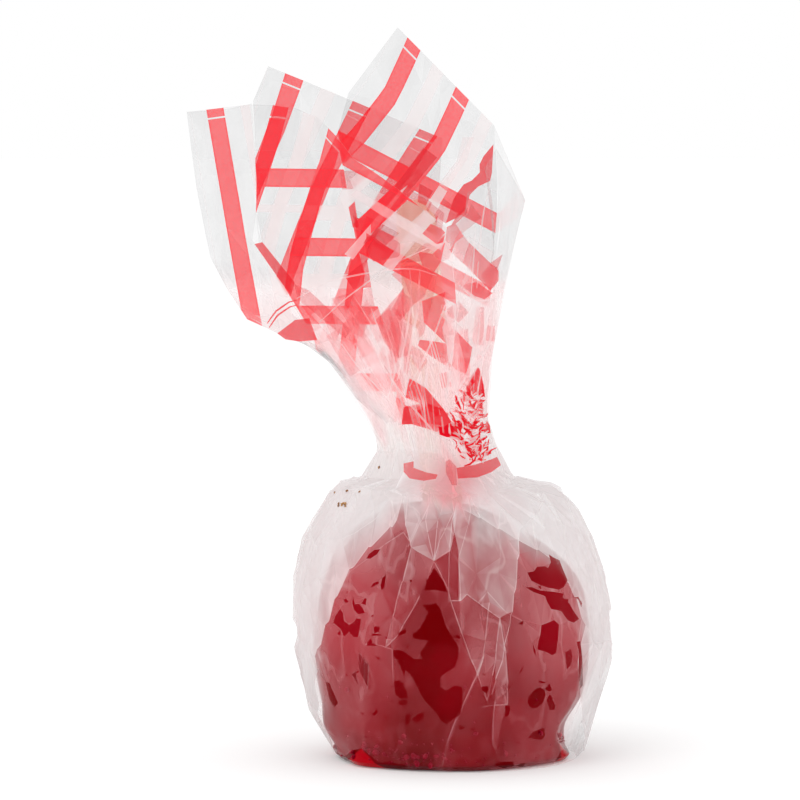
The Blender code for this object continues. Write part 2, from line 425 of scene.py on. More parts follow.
def bare_birch():
    """Pale wood with fine lengthwise grain."""
    finish = Finish("bare_birch")
    place = finish.place()
    fibre = finish.grain(place, 1.4, detail=5.0, rough=0.65, stretch=(1, 1, 0.03))
    cloud = finish.grain(place, 14.0, detail=2.0, stretch=(1, 1, 0.4))
    colour = finish.blend(finish.rise(fibre, 0.3, 0.75), (0.74, 0.56, 0.44, 1), (0.60, 0.41, 0.29, 1))
    colour = finish.blend(finish.rise(cloud, 0.4, 0.7, 0.0, 0.5), colour, (0.80, 0.64, 0.52, 1))
    return finish.paint(colour, 0.62, Normal=finish.bump(fibre, 0.3, 0.1 * MM))


def clear_tape():
    """Thin clear tape with faint streaks across the neck."""
    finish = Finish("clear_tape")
    streak = finish.grain(finish.place(), 2.2, detail=3.0, stretch=(1, 1, 0.25))
    return finish.paint((0.9, 0.89, 0.88, 1), 0.3, Alpha=finish.rise(streak, 0.35, 0.7, 0.06, 0.24))


def crumb_finish():
    """Toasted sugar crumbs, tan to dark brown."""
    finish = Finish("sugar_crumbs")
    speck = finish.rise(finish.grain(finish.place(), 0.9, detail=2.0), 0.35, 0.65)
    return finish.paint(finish.blend(speck, (0.55, 0.29, 0.10, 1), (0.13, 0.045, 0.02, 1)), 0.5)


def bubble_finish(name, rim_highlight):
    """Small bright drops of clear red sugar, with a painted highlight that pales them round their rims."""
    finish = Finish(name)
    rim = finish.amount("ShaderNodeLayerWeight", {"Blend": 0.4}, "Facing")
    colour = finish.blend(finish.rise(rim, 0.2, 0.75), (0.22, 0.0, 0.01, 1), rim_highlight)
    return finish.paint(colour, 0.14, Specular_IOR_Level=0.12)


# ---------------------------------------------------------------- crumpled film


def inside(x, y, outline):
    """True if a place lies within an outline."""
    found = False
    for (x1, y1), (x2, y2) in zip(outline, outline[1:] + outline[:1]):
        if (y1 > y) != (y2 > y) and x < x1 + (x2 - x1) * (y - y1) / (y2 - y1):
            found = not found
    return found


def film_net(width, height, cell, creases, rng, small, tall, rim_gleam=0.0):
    """Facets over a flat of this size: places, lifts, softness, triangles and how each edge gleams.

    creases holds (gleam, lift, points). small is the share and gleam of the lesser creases.
    tall stretches the facets upwards.
    """
    dots, lifts, softs, edges, gleams = [], [], [], [], []

    def add_run(points, gleam, lift, soft):
        chain = Chain([(x, y / tall, 0) for x, y in points])
        steps = max(1, round(chain.reach[-1] / cell))
        marks = sorted({i / steps for i in range(steps + 1)} | {r / chain.reach[-1] for r in chain.reach})
        marks = [mark for i, mark in enumerate(marks) if i == 0 or mark - marks[i - 1] > 1e-6]
        first = len(dots)
        for mark in marks:
            dots.append(chain.at(mark).to_2d())
            lifts.append(lift)
            softs.append(soft)
        for i in range(first, len(dots) - 1):
            edges.append((i, i + 1))
            gleams.append(gleam)

    add_run(((0, 0), (width, 0)), 0.0, 0.0, 0.0)
    add_run(((0, height), (width, height)), rim_gleam, 0.0, 0.0)
    for x in (0, width):
        add_run(((x, 0), (x, height)), 0.0, 0.0, 0.0)
    for gleam, lift, points in creases:
        add_run(points, gleam, lift, gleam)
    fixed = list(dots)
    columns, rows = max(1, round(width / cell)), max(1, round(height / tall / cell))
    stray = 0.42
    for row in range(rows):
        for column in range(columns):
            x = (column + 0.5 + rng.uniform(-stray, stray)) * width / columns
            y = (row + 0.5 + rng.uniform(-stray, stray)) * height / tall / rows
            spot = Vector((x, y))
            if min((spot - other).length for other in fixed) > 0.45 * cell:
                dots.append(spot)
                lifts.append(None)
                softs.append(0.0)
    places, net_edges, triangles, from_dots, from_edges = delaunay_2d_cdt(dots, edges, [], 0, 1e-4)[:5]
    edge_gleam = {}
    for (one, two), sources in zip(net_edges, from_edges):
        gleam = max((gleams[s] for s in sources if s < len(gleams)), default=None)
        if gleam is None:
            gleam = rng.uniform(0.4, 1) * small[1] if rng.random() < small[0] else 0.0
        edge_gleam[min(one, two), max(one, two)] = gleam
    rise, soft = [], []
    for sources in from_dots:
        known = [lifts[s] for s in sources if lifts[s] is not None]
        rise.append(max(known, key=abs) if known else (0.0 if not sources else None))
        soft.append(max((softs[s] for s in sources), default=0.3))
    return [(x, y * tall) for x, y in places], rise, soft, triangles, edge_gleam


class Film:
    """Gathers the facets of a film piece, with thin bright bands along the creases: painted highlights on
    the folds, over the milkier doubled film there.
    """

    def __init__(self, rng):
        self.rng = rng
        self.points, self.faces, self.values = [], [], {"crease_gleam": []}

    def face(self, indices, crease_gleam, marks):
        self.faces.append(tuple(indices))
        self.values["crease_gleam"].extend(crease_gleam)
        for key in marks[0]:
            self.values.setdefault(key, []).extend(mark[key] for mark in marks)

    def facet(self, corners, spots, marks, gleams):
        """One triangle: corner indices, places, values at each corner and the gleam of each edge."""
        cross = (spots[1] - spots[0]).cross(spots[2] - spots[0]).length
        if cross < 1e-5:
            return
        if max(gleams) == 0.0:
            self.face(corners, (0.0, 0.0, 0.0), marks)
            return
        far = [(spots[2] - spots[1]).length, (spots[0] - spots[2]).length, (spots[1] - spots[0]).length]
        shares = [side / sum(far) for side in far]
        shrink = 1 - min(CREASE_WIDTH * sum(far) / cross, 0.45)

        def inner(values, blank):
            middle = sum((value * share for value, share in zip(values, shares)), blank)
            return [middle + (value - middle) * shrink for value in values]

        first = len(self.points)
        self.points.extend(inner(spots, Vector((0, 0, 0))))
        columns = {key: inner([mark[key] for mark in marks], 0.0) for key in marks[0]}
        hearts = [{key: columns[key][i] for key in columns} for i in range(3)]
        self.face((first, first + 1, first + 2), (0.0, 0.0, 0.0), hearts)
        for i in range(3):
            j = (i + 1) % 3
            self.face(
                (corners[i], corners[j], first + j, first + i), (gleams[i], gleams[i], 0.0, 0.0),
                (marks[i], marks[j], hearts[j], hearts[i]))

    def add_net(self, net, place, outward, mark_at, jitter, vary):
        """Adds a net of facets. place and outward give a flat place's 3-D place and outer side.

        mark_at gives the values at a corner from its 3-D place and the facet's middle on the flat,
        and vary says how much the haze differs from facet to facet.
        """
        flat, rise, soft, triangles, edge_gleam = net
        first = len(self.points)
        outs = [outward(x, y) for x, y in flat]
        for (x, y), lift, out in zip(flat, rise, outs):
            lift = self.rng.uniform(-jitter, jitter) if lift is None else lift
            self.points.append(place(x, y) + out * lift)
        spots = self.points[first:]
        way = sum(
            (spots[b] - spots[a]).cross(spots[c] - spots[a]).dot(outs[a]) for a, b, c in triangles)
        for triangle in triangles:
            if way < 0:
                triangle = triangle[::-1]
            own = 1 + self.rng.uniform(-1, 1) * vary(spots[triangle[0]])
            halo = self.rng.choice((0.0, 0.03, 0.07, 0.12))
            middle = [sum(flat[i][axis] for i in triangle) / 3 for axis in (0, 1)]
            marks = [mark_at(spots[i], middle) for i in triangle]
            for i, mark in zip(triangle, marks):
                mark["haze"] = mark["haze"] * own + soft[i] * halo
            pairs = ((triangle[0], triangle[1]), (triangle[1], triangle[2]), (triangle[2], triangle[0]))
            gleams = [edge_gleam.get((min(pair), max(pair)), 0.0) for pair in pairs]
            self.facet(
                [first + i for i in triangle], [spots[i] for i in triangle], marks, gleams)

    def piece(self, name, material, sharp):
        made = mesh_piece(name, self.points, self.faces, material, self.values, smooth_below=sharp)
        editing = bmesh.new()
        editing.from_mesh(made.data)
        bmesh.ops.remove_doubles(editing, verts=editing.verts, dist=0.01 * MM)
        editing.to_mesh(made.data)
        editing.free()
        made.data.set_sharp_from_angle(angle=math.radians(sharp))
        made.visible_shadow = False
        made.visible_diffuse = False
        return made


# ---------------------------------------------------------------- the bag round the apple


class BagForm:
    """The bag's surface, by how far down it a place lies from the neck's top."""

    def __init__(self):
        stations = BAG_STATIONS[::-1]
        self.rows = [(0.0,) + stations[0]]
        for one, two in zip(stations, stations[1:]):
            step = math.hypot(two[0] - one[0], (two[2] - two[1] - one[2] + one[1]) / 2)
            self.rows.append((self.rows[-1][0] + step,) + two)
        self.depths = [(-row[1], row[0]) for row in self.rows]
        self.length = self.rows[-1][0]

    def down_to(self, height):
        """How far down the surface a height lies."""
        return between(self.depths, -height)[0]

    def place(self, angle, down):
        """The place at this angle, 0 on the right and -90 at the front, this far down."""
        height, left, right, deep = between(self.rows, down)
        turn = math.radians(angle)
        out = 0.0
        for ear_angle, ear_height, wide, reach, ear_out in EARS:
            near = max(0.0, 1 - abs(height - ear_height) / reach)
            out += ear_out * near * math.exp(-((turned(angle, ear_angle) / wide) ** 2))
        x = (left + right) / 2 + ((right - left) / 2 + out) * math.cos(turn)
        y = (deep + out) * math.sin(turn)
        return Vector((x, y, height))


BAG = BagForm()
# What shows on the front of the bag, as places across and up: the gleam and lift of each crease.
CREASES = (
    (0.85, 0.8, (
        (-13, 68), (-14.5, 62.5), (-26, 50.5), (-30, 41.5), (-34.5, 28), (-34.5, 19), (-30.5, 4.5))),
    (0.55, 0.4, ((-26, 50), (-17.5, 57), (-13, 60), (-11.5, 58))),
    (0.8, 0.5, ((-12.5, 69), (-12.5, 62), (-11, 56.5), (-14.5, 44), (-17, 34), (-17.5, 32))),
    (0.6, 0.5, ((-9, 69.5), (-7.5, 63), (-5.5, 53.5))),
    (0.6, 0.5, ((-5, 69.5), (-4.5, 63), (-5.5, 53.5))),
    (0.5, 0.5, ((-6.5, 70), (-9, 62), (-12, 56.5))),
    (0.8, 0.4, ((-5.5, 53.5), (-9.5, 44), (-14.5, 35), (-17.5, 32))),
    (0.85, 0.6, ((-5.5, 53.5), (-2, 46.5), (-1.5, 44), (3.5, 29.5), (7.5, 19))),
    (0.8, 0.7, ((-1, 70.5), (-1, 63), (-2, 44), (1, 44))),
    (0.7, 0.6, ((0.5, 70.5), (0.5, 54), (1, 44), (2.5, 45.5), (10.5, 39.5))),
    (0.7, 0.5, ((10.5, 39.5), (12, 31.5), (12.5, 21.5), (12.5, 18), (6, 17.5))),
    (0.8, 0.5, ((10.5, 39.5), (9.5, 29), (7.5, 19))),
    (0.85, 0.8, (
        (14.5, 71.5), (15.5, 60.5), (14.5, 48.5), (13.5, 41), (11.5, 31.5), (9.5, 24), (8.5, 20.5))),
    (0.7, 0.4, ((8, 43.5), (6.5, 29.5), (1.5, 18), (-3.5, 1.5))),
    (0.5, 0.3, ((7.5, 46), (12, 41), (16.5, 38.5))),
    (0.7, 0.4, ((9.5, 19), (9, 7.5), (10, 6), (8.5, 0.5))),
    (0.35, 0.6, ((1, 66), (11, 60.5), (24.5, 52.5))),
    (0.7, 0.2, ((-22.5, 32.5), (-19, 32.5), (-15.5, 31.5))),
    (0.6, 0.3, ((-16, 34), (-15.5, 24), (-15.5, 17.5))),
    (0.5, 0.4, ((-0.5, 66), (-4, 58.5), (-5.5, 53.5))),
    (0.5, 0.4, ((22, 60), (24.5, 52.5), (28, 46.5), (32, 36), (36, 29))),
    (0.5, 0.4, ((31, 37.5), (30, 27.5), (31.5, 11.5), (33, 1.5))),
    (0.4, 0.3, ((30.5, 31.5), (39, 30.5))),
    (0.5, 0.5, ((-15, 69.5), (-20, 62.5), (-25, 59), (-28, 57.5))),
    (0.35, 0.4, ((-30, 63), (-35, 55), (-38, 44), (-39, 30.5), (-37, 12))),
    (0.4, 0.6, ((-16, 72), (-27, 64), (-34, 55))),
    (0.4, 0.6, ((9, 73), (22, 66), (31, 58), (36, 47))),
    (0.3, 0.5, ((20, 69.5), (29, 60), (34, 50), (33, 38))),
)
# How milky the film is within an outline, above the rest: partly real haze of the crumpled film, partly
# painted reflection of the studio on these panels.
HAZE_AND_SHEEN_PANELS = (
    (0.6, (
        (-13, 68), (-14.5, 62.5), (-26, 50.5), (-30, 41.5), (-34.5, 28), (-34.5, 19), (-30.5, 4.5),
        (-33, 0), (-42, 14), (-43, 50), (-31.5, 71), (-14, 72))),
    (0.12, (
        (-11, 56.5), (-14.5, 44), (-17, 34), (-17.5, 32), (-14.5, 35), (-9.5, 44), (-5.5, 53.5),
        (-7.5, 57.5))),
    (0.25, (
        (0.5, 44), (0.5, 56), (-1, 63), (-1, 68), (14.5, 71.5), (15.5, 60.5), (14.5, 48.5), (13.5, 41),
        (10.5, 39.5), (2.5, 45.5), (1, 44))),
    (0.11, ((-1.5, 44), (2.5, 45.5), (10.5, 39.5), (9.5, 29), (7.5, 19), (3.5, 29.5))),
    (0.17, ((10.5, 39.5), (12, 31.5), (12.5, 21.5), (12.5, 18), (10, 6), (9, 7.5), (9.5, 19), (9.5, 29))),
    (0.13, ((7, 31), (5.5, 25.5), (-2, 6), (-3.5, 1.5), (1.5, 18), (6, 29.5))),
    (0.34, (
        (1, 66), (11, 60.5), (24.5, 52.5), (28, 46.5), (32, 36), (30, 27.5), (31.5, 11.5), (33, 0),
        (42, 0), (43, 40), (37, 65.5), (21.5, 73), (1, 73))),
    (0.27, ((-13, 68), (-12.5, 62), (-11, 56.5), (-5.5, 53.5), (-1.5, 56), (-1, 69))),
)
# Where the film sticks to the coat, so that the red shows deep and clear.
STUCK = (
    ((-5.5, 52), (-4.5, 50.5), (-3, 48.25), (-2.25, 46), (-5, 46.5), (-8, 46.5), (-6.75, 49.75)),
    (
        (-8.5, 43), (-6.5, 43), (-5, 43.5), (-4, 42), (-2.5, 37.5), (0.5, 32.5), (0.5, 30), (-0.5, 27.5),
        (-2, 26.5), (-4, 25), (-4, 22.5), (-2.5, 21.5), (-0.5, 23), (1.5, 22.5), (1.5, 18.5), (1, 15.5),
        (-2.5, 13), (-4, 14), (-5, 16), (-8, 19), (-10, 23), (-11, 25), (-12.5, 26.5), (-13, 25),
        (-14, 28), (-15.5, 30), (-15.5, 31.5), (-13.5, 31.5), (-10.5, 29.5), (-8.5, 29.5), (-9, 31),
        (-7, 34), (-10.5, 34.5), (-11, 35.5), (-9, 37), (-7, 41)),
    ((-15.5, 23.5), (-14, 24), (-12, 21), (-12, 19.5), (-13.5, 19), (-15, 20)),
    ((-14.5, 18.5), (-12, 19), (-12, 17.7), (-14, 17.5)),
    ((-12.5, 15), (-11.5, 15.5), (-11.5, 13), (-12.5, 12.5)),
    ((-11, 14), (-9.5, 15.5), (-8, 16), (-8, 14.5), (-10, 13)),
    ((-14.5, 35.5), (-12.5, 37), (-12.3, 36), (-14, 35)),
    (
        (-30.5, 37), (-30, 38.75), (-28.75, 40.75), (-28, 39.75), (-27.75, 37.75), (-26.5, 37),
        (-25.5, 37.5), (-24.75, 38.75), (-23.5, 38.75), (-23.75, 36.75), (-24.25, 34), (-25.5, 34),
        (-26.5, 35.25), (-27.75, 33.75), (-28.5, 35.5), (-29.75, 36.5)),
    (
        (-25.5, 44), (-25, 42.25), (-24, 42.5), (-23, 41.25), (-22.5, 40.25), (-24.25, 39.75),
        (-25.25, 40.75), (-25.75, 42.5)),
    ((-28, 43.25), (-27.25, 43.5), (-26.5, 42.75), (-27.5, 42.25)),
    ((-29.5, 34.5), (-28.75, 35.25), (-28.5, 34.25), (-29.25, 34)),
    ((-27.25, 45), (-26.75, 45.25), (-27, 44.5)),
    ((-22.25, 53.5), (-21.5, 54.75), (-20.25, 55.75), (-18.75, 56), (-19.5, 54.75), (-21.25, 53.5)),
    ((-17.25, 50.25), (-18.25, 49), (-18.75, 47.25), (-18.5, 46), (-17.75, 46.75), (-17.5, 48.5)),
    ((-19.25, 48.25), (-20.5, 47.75), (-21.25, 46.5), (-20.25, 47), (-19, 47.75)),
    ((-32.5, 21.5), (-31.5, 21.5), (-30.5, 19.25), (-29.25, 16.5), (-30.25, 15.25), (-31.5, 17)),
    ((-27.5, 24.5), (-26.75, 24.25), (-27, 23.75)),
    ((-21.75, 15.5), (-20.5, 15), (-19.75, 16.25), (-19.25, 15.5), (-20.25, 14.25)),
    ((-23.75, 15), (-22.75, 14.75), (-23.25, 14.25)),
    ((-21.75, 33.25), (-21, 34.25), (-20.75, 33), (-19.25, 32.25), (-22.25, 32)),
    (
        (17.5, 50.25), (19.25, 50.5), (20, 51.5), (22, 51.5), (22.75, 51), (23.5, 52.25), (23, 54.25),
        (24, 53.5), (25.75, 52.5), (26.5, 50.5), (27.75, 47.5), (26.75, 46), (25.5, 45.5), (22.75, 46.25),
        (20.75, 47), (18.5, 48.25)),
    (
        (17, 46.75), (18.5, 46.75), (20.75, 45.75), (23.75, 45.25), (26.75, 44.5), (26.5, 43.5),
        (28.25, 41.75), (29.5, 39.5), (30.75, 37.75), (29.25, 37), (27.75, 37.75), (26, 40.25),
        (23.5, 41), (22.5, 42.75), (22, 44.25), (19, 45.5)),
    (
        (21, 37.25), (22.75, 37.75), (24.25, 38.25), (25.5, 37), (25.25, 33.25), (24.75, 30),
        (23.75, 29.5), (22.25, 30.5), (20, 31.25), (20.25, 33.25), (20.75, 35)),
    (
        (17.5, 18), (18, 19.5), (19.25, 21), (20.75, 21.75), (22, 20.75), (22.25, 19.5), (21.5, 17.5),
        (20, 16.25), (18.5, 16.5)),
    (
        (22.75, 19), (23.5, 19.5), (24, 18.5), (24.25, 17.5), (24.75, 16.25), (24.5, 15.25),
        (23.25, 15.5), (22.5, 17.75)),
    ((30, 32.25), (31, 32.25), (31.5, 28), (31.75, 20.75), (31, 19.75), (30.5, 25)),
    ((29.25, 43.25), (30.5, 43.25), (31.5, 41.5), (31.25, 40.5), (30.5, 42.5)),
    ((27, 30), (28.5, 30.75), (29, 28.75), (28.5, 26.5), (27.5, 25.5), (27.25, 28)),
    ((18.75, 33.25), (19.5, 31.25), (19.75, 29.5), (19, 30.75)),
    ((16.75, 28), (16.25, 26.25), (15, 24.5), (15.75, 26.25)),
    ((17.75, 8.75), (19.25, 10.25), (22, 11), (22.25, 8.75), (21.25, 7.75)),
    ((12, 17.5), (13.5, 17.5), (13, 15), (12, 14.5)),
    ((9, 2), (11, 3), (14, 2.7), (14.5, 1.5), (12, 1)),
    ((15, 1.5), (16.5, 2.2), (17.5, 2), (16.5, 1)),
    ((-28, 0.6), (-26, 4.2), (-23.5, 5.2), (-21, 3.4), (-18, 0.6)),
    ((24.5, 0.6), (26.5, 4.2), (28, 5), (29.5, 3.5), (30.5, 0.8)),
)


def on_front(places):
    """Places across and up on the front of the bag as places on its flat."""
    flat = []
    for x, height in places:
        left, right = between(BAG_STATIONS, height)[:2]
        share = (x - (left + right) / 2) / ((right - left) / 2)
        flat.append((-math.degrees(math.acos(min(max(share, -1.0), 1.0))), height))
    return on_flat(flat)


def on_flat(points):
    """Angles and heights on the bag as places on its flat, which is cut along the back."""
    flat = []
    for angle, height in points:
        x = (angle + 270) / 360 * FLAT_WIDTH
        y = BAG.length - BAG.down_to(height)
        flat.append((min(max(x, 0.0), FLAT_WIDTH), min(max(y, 0.0), BAG.length)))
    return flat


def stuck_round_back(rng, count=15):
    """Ragged outlines, in angles and heights, for the sides and the back."""
    outlines = []
    for index in range(count):
        angle, height = -8 + 196 * (index + rng.random()) / count, rng.uniform(8, 50)
        reach = rng.choice((1.5, 2.5, 4.0, 6.0))
        turns = sorted(rng.uniform(0, math.tau) for _ in range(7 + round(reach * 2)))
        outline = []
        for turn in turns:
            out = reach * rng.uniform(0.35, 1.2)
            outline.append((angle + 1.5 * out * math.cos(turn), max(height + out * math.sin(turn), 1.0)))
        outlines.append([(a if a <= 89 else a - 360, h) for a, h in outline])
    return [outline for outline in outlines if max(outline)[0] - min(outline)[0] < 90]


def stuck_specks(rng, count=46):
    """Small spots of stuck film, strewn on the front between the larger ones."""
    outlines = []
    for _ in range(count):
        x, height = rng.uniform(-27, 27), rng.uniform(5, 50)
        if -3 < x < 14 and height > 38:
            continue
        reach = rng.choice((0.35, 0.5, 0.7, 1.0))
        turns = sorted(rng.uniform(0, math.tau) for _ in range(6))
        outlines.append([
            (x + reach * 1.3 * rng.uniform(0.6, 1.2) * math.cos(turn),
             height + reach * rng.uniform(0.6, 1.2) * math.sin(turn)) for turn in turns])
    return outlines


def apple_aside(height):
    """How far to the right the apple's middle lies at a height."""
    return -0.9 - 1.8 * math.exp(-(((height - 8.5) / 4.5) ** 2)) - 4.4 * fade(42.0, 62.0, height)


def apple_reach(height):
    """The apple's half width at a height, and nothing above it."""
    outer = APPLE_PROFILE[1:-2]
    return between(outer, height)[0] if height <= 64.0 else 0.0


def bag_marks(spot, middle, panels, stuck):
    """How milky, pink and wet the film round the apple is. The pink is a painted glow of the red candy
    behind the film, and part of the milkiness is painted reflection of the studio.
    """
    x, y, z = spot
    front = fade(0.0, 1.0, (4.0 - y) / 14.0)
    # Real haze of the crumpled film, with painted reflection of the studio laid in on some panels.
    mist_and_sheen = 0.045 + 0.11 * fade(10.0, 30.0, z) + 0.05 * fade(40.0, 56.0, z) + 0.44 * fade(63.5, 67.5, z)
    mist_and_sheen += 0.14 * fade(8.0, 16.0, x) * fade(18.0, 38.0, z) * front
    mist_and_sheen += 0.07 * fade(10.0, 20.0, x) * front + 0.13 * fade(13.0, 20.0, -x) * fade(8.0, 24.0, z) * front
    upper = 0.17 - 0.10 * fade(48.0, 56.0, z)
    mist_and_sheen += upper * fade(4.0, 10.0, x) * fade(42.0, 46.0, z) * fade(-16.0, -13.0, -x) * front
    mist_and_sheen += 0.25 * math.exp(-(((x + 2.0) / 7.0) ** 2)) * fade(64.0, 68.0, z) * front
    mist_and_sheen += 0.12 * fade(13.0, 17.0, -x) * fade(46.0, 52.0, z) * front
    mist_and_sheen += 0.20 * fade(58.0, 63.0, z) * fade(7.0, 10.0, -x) * front
    mist_and_sheen += (0.19 * fade(18.0, 26.0, -x) + 0.07 * fade(8.0, 14.0, x)) * (1 - fade(16.0, 26.0, z)) * front
    panel = sum(amount for amount, outline in panels if inside(*middle, outline))
    mist_and_sheen += panel * fade(-3.0, 9.0, -y)
    mist_and_sheen += 0.22 * fade(33.0, 40.5, abs(x)) * front
    mist_and_sheen += (1.0 - front) * 0.24 * max(0.0, 0.4 + wobble(spot, 13.0, 3.1))
    mist_and_sheen += 0.03 * wobble(spot, 9.0, 7.7)
    reach, middle_x = apple_reach(z), apple_aside(z)
    # Painted pink glow on the film near the candy, and in a band round the neck above the dimple.
    blush = 1.0 - fade(reach - 3.0, reach + 2.0, math.hypot(x - middle_x, y))
    if front > 0.5:
        blush = 1.0 - fade(reach - 3.0, reach + 1.0, abs(x - middle_x))
    glow = math.exp(-(((x + 1.0) / 8.0) ** 2)) * fade(63.5, 67.0, z) * fade(-81.0, -75.0, -z)
    blush = max(blush, 0.35 * fade(74.0, 86.0, z), 3.2 * glow)
    wet = 1.0 if any(inside(*middle, outline) for outline in stuck) else 0.0
    return {"haze": min(max(mist_and_sheen, 0.02), 0.84), "blush": 0.01 + 0.99 * blush, "wet": wet}


def bag_over_apple():
    """The film from the taped neck down round the apple to the table, crumpled into facets."""
    rng = random.Random(11)
    creases = [(gleam, lift, on_front(places)) for gleam, lift, places in CREASES]
    panels = [(amount, on_front(outline)) for amount, outline in HAZE_AND_SHEEN_PANELS]
    stuck = [on_front(outline) for outline in STUCK]
    stuck += [on_flat(outline) for outline in stuck_round_back(rng)]
    stuck += [on_front(outline) for outline in stuck_specks(rng)]
    # Stuck places get a faint painted highlight round their edges, the milky panels none.
    outlines = [(0.2, 0.0, outline + outline[:1]) for outline in stuck]
    outlines += [(0.0, 0.0, panel + panel[:1]) for _, panel in panels]
    long_creases, neck_pleats = 24, 44
    for index in range(long_creases):
        angle = -5 + 190 * (index + rng.random()) / long_creases
        if angle > 90:
            angle -= 360
        foot = rng.uniform(4, 52)
        points = [(angle, 77.0)]
        while points[-1][1] > foot:
            step = rng.uniform(9, 20)
            points.append((points[-1][0] + rng.uniform(-15, 15), max(points[-1][1] - step, foot)))
        creases.append((rng.uniform(0.35, 0.8), rng.uniform(0.3, 1.0), on_flat(points)))
    for index in range(neck_pleats):
        angle = -266 + 8 * index + rng.uniform(-3, 3)
        points = [(angle, 86.5), (angle + rng.uniform(-3, 3), 79), (angle + rng.uniform(-6, 6), 71)]
        if rng.random() < 0.4:
            points.append((points[-1][0] + rng.uniform(-10, 10), rng.uniform(60, 67)))
        creases.append((rng.uniform(0.1, 0.4), rng.uniform(0.4, 1.0), on_flat(points)))
    for angle in (0, -180):
        points = [(angle - 38, 68.0), (angle - 14, 70.6), (angle + 14, 70.6), (angle + 38, 68.0)]
        creases.append((0.35, 0.0, on_flat(points)))
    net = film_net(FLAT_WIDTH, BAG.length, 5.5, creases + outlines, rng, small=(0.09, 0.12), tall=1.7)

    def place(x, y):
        return BAG.place(x / FLAT_WIDTH * 360 - 270, BAG.length - y)

    def outward(x, y):
        turn = math.radians(x / FLAT_WIDTH * 360 - 270)
        one, two = place(x, max(y - 1, 0)), place(x, min(y + 1, BAG.length))
        rise = (two - one).normalized()
        side = Vector((-math.sin(turn), math.cos(turn), 0))
        return side.cross(rise).normalized()

    film = Film(rng)
    film.add_net(
        net, place, outward, lambda spot, middle: bag_marks(spot, middle, panels, stuck), 0.2,
        lambda spot: 0.07 if spot.y < -8 else 0.2)
    return film.piece("film_bag", bag_film(), sharp=7.0)


# ---------------------------------------------------------------- the coated apple


def coated_apple():
    """The apple in its sugar coat, which has run down into a flat foot."""
    turns, rows = 128, 72
    profile = Chain([(radius, 0, height) for height, radius in APPLE_PROFILE])
    points = [Vector((0, 0, 0))]
    for row in range(1, rows):
        base = profile.at(row / rows)
        for turn in range(turns):
            angle = math.tau * turn / turns
            way = Vector((math.cos(angle), math.sin(angle), 0))
            spot = Vector((way.x * base.x, way.y * base.x, base.z))
            lump = 0.8 * wobble(spot, 26.0, 1.3) + 0.35 * wobble(spot, 9.0, 4.4)
            run = 0.5 * wobble((spot.x, spot.y, spot.z * 0.2), 6.0, 8.0)
            foot = fade(0.2, 5.0, base.z)
            five = 0.7 * math.cos(5 * angle + 0.6) * fade(30, 60, base.z)
            reach = (lump + run + five) * foot + 0.9 * wobble(way * 20, 8.0, 2.0) * (1 - foot)
            for corner, _, tall in FRONT_FEET:
                away = turned(math.degrees(angle), corner)
                low = 1 - fade(0.3 * tall, 1.2 * tall, base.z)
                reach += FOOT_FLARE * math.exp(-((away / 11) ** 2)) * low
            spot = spot + way * reach + Vector((apple_aside(base.z), 0, 0.4 * lump * foot))
            points.append(spot)
    points.append(profile.at(1.0))
    faces = [(0, 1 + (turn + 1) % turns, 1 + turn) for turn in range(turns)]
    for row in range(rows - 2):
        for turn in range(turns):
            a = 1 + row * turns + turn
            b = 1 + row * turns + (turn + 1) % turns
            faces.append((a, b, b + turns, a + turns))
    last = 1 + (rows - 2) * turns
    faces += [(last + turn, last + (turn + 1) % turns, len(points) - 1) for turn in range(turns)]
    return mesh_piece("candy_apple", points, faces, candy_coat(), smooth_below=50)


# ---------------------------------------------------------------- the fan above the neck


class Panel:
    """Film between two folds: both folds run up from the neck, and the rim joins their tops."""

    def __init__(self, left, right, rim, behind=False):
        self.left, self.right, self.rim = Chain(left), Chain(right), Chain(rim)
        self.root = Chain(neck_arc(self.left.points[0], self.right.points[0], behind))

    def size(self):
        """The panel's mean width and height."""
        width = (self.rim.reach[-1] + (self.right.at(0.5) - self.left.at(0.5)).length) / 2
        return width, (self.left.reach[-1] + self.right.reach[-1]) / 2

    def at(self, s, t):
        """The place at a share across and a share up."""
        left, right = (self.root.at(end) * (1 - t) + self.rim.at(end) * t for end in (0, 1))
        sides = self.left.at(t) * (1 - s) + self.right.at(t) * s
        return sides + self.root.at(s) * (1 - t) + self.rim.at(s) * t - left * (1 - s) - right * s

    def out(self, across, up):
        """The side away from the fan's middle."""
        near = 0.02
        s, t = min(max(across, near), 1 - near), min(max(up, near), 1 - near)
        one = self.at(s + near, t) - self.at(s - near, t)
        two = self.at(s, t + near) - self.at(s, t - near)
        normal = one.cross(two)
        if normal.length < 1e-9:
            return Vector((0, -1, 0))
        normal.normalize()
        middle = self.at(0.5, 0.6)
        heart = NECK.lerp(Vector((-24.0, -10.0, 150.0)), fade(86, 150, middle.z))
        return normal if normal.dot(middle - heart) > 0 else -normal


def neck_arc(start, end, behind):
    """Points round the neck from one fold's root to the next."""
    start, end = Vector(start), Vector(end)
    turns = [math.atan2(p.y - NECK.y, p.x - NECK.x) for p in (start, end)]
    if behind and turns[1] > turns[0]:
        turns[1] -= math.tau
    if not behind and turns[1] < turns[0]:
        turns[1] += math.tau
    reaches = [math.hypot(p.x - NECK.x, p.y - NECK.y) for p in (start, end)]
    points = []
    for share in (0.0, 0.2, 0.4, 0.6, 0.8, 1.0):
        turn = turns[0] + (turns[1] - turns[0]) * share
        reach = reaches[0] + (reaches[1] - reaches[0]) * share
        points.append((
            NECK.x + reach * math.cos(turn), NECK.y + reach * math.sin(turn),
            start.z + (end.z - start.z) * share))
    return points


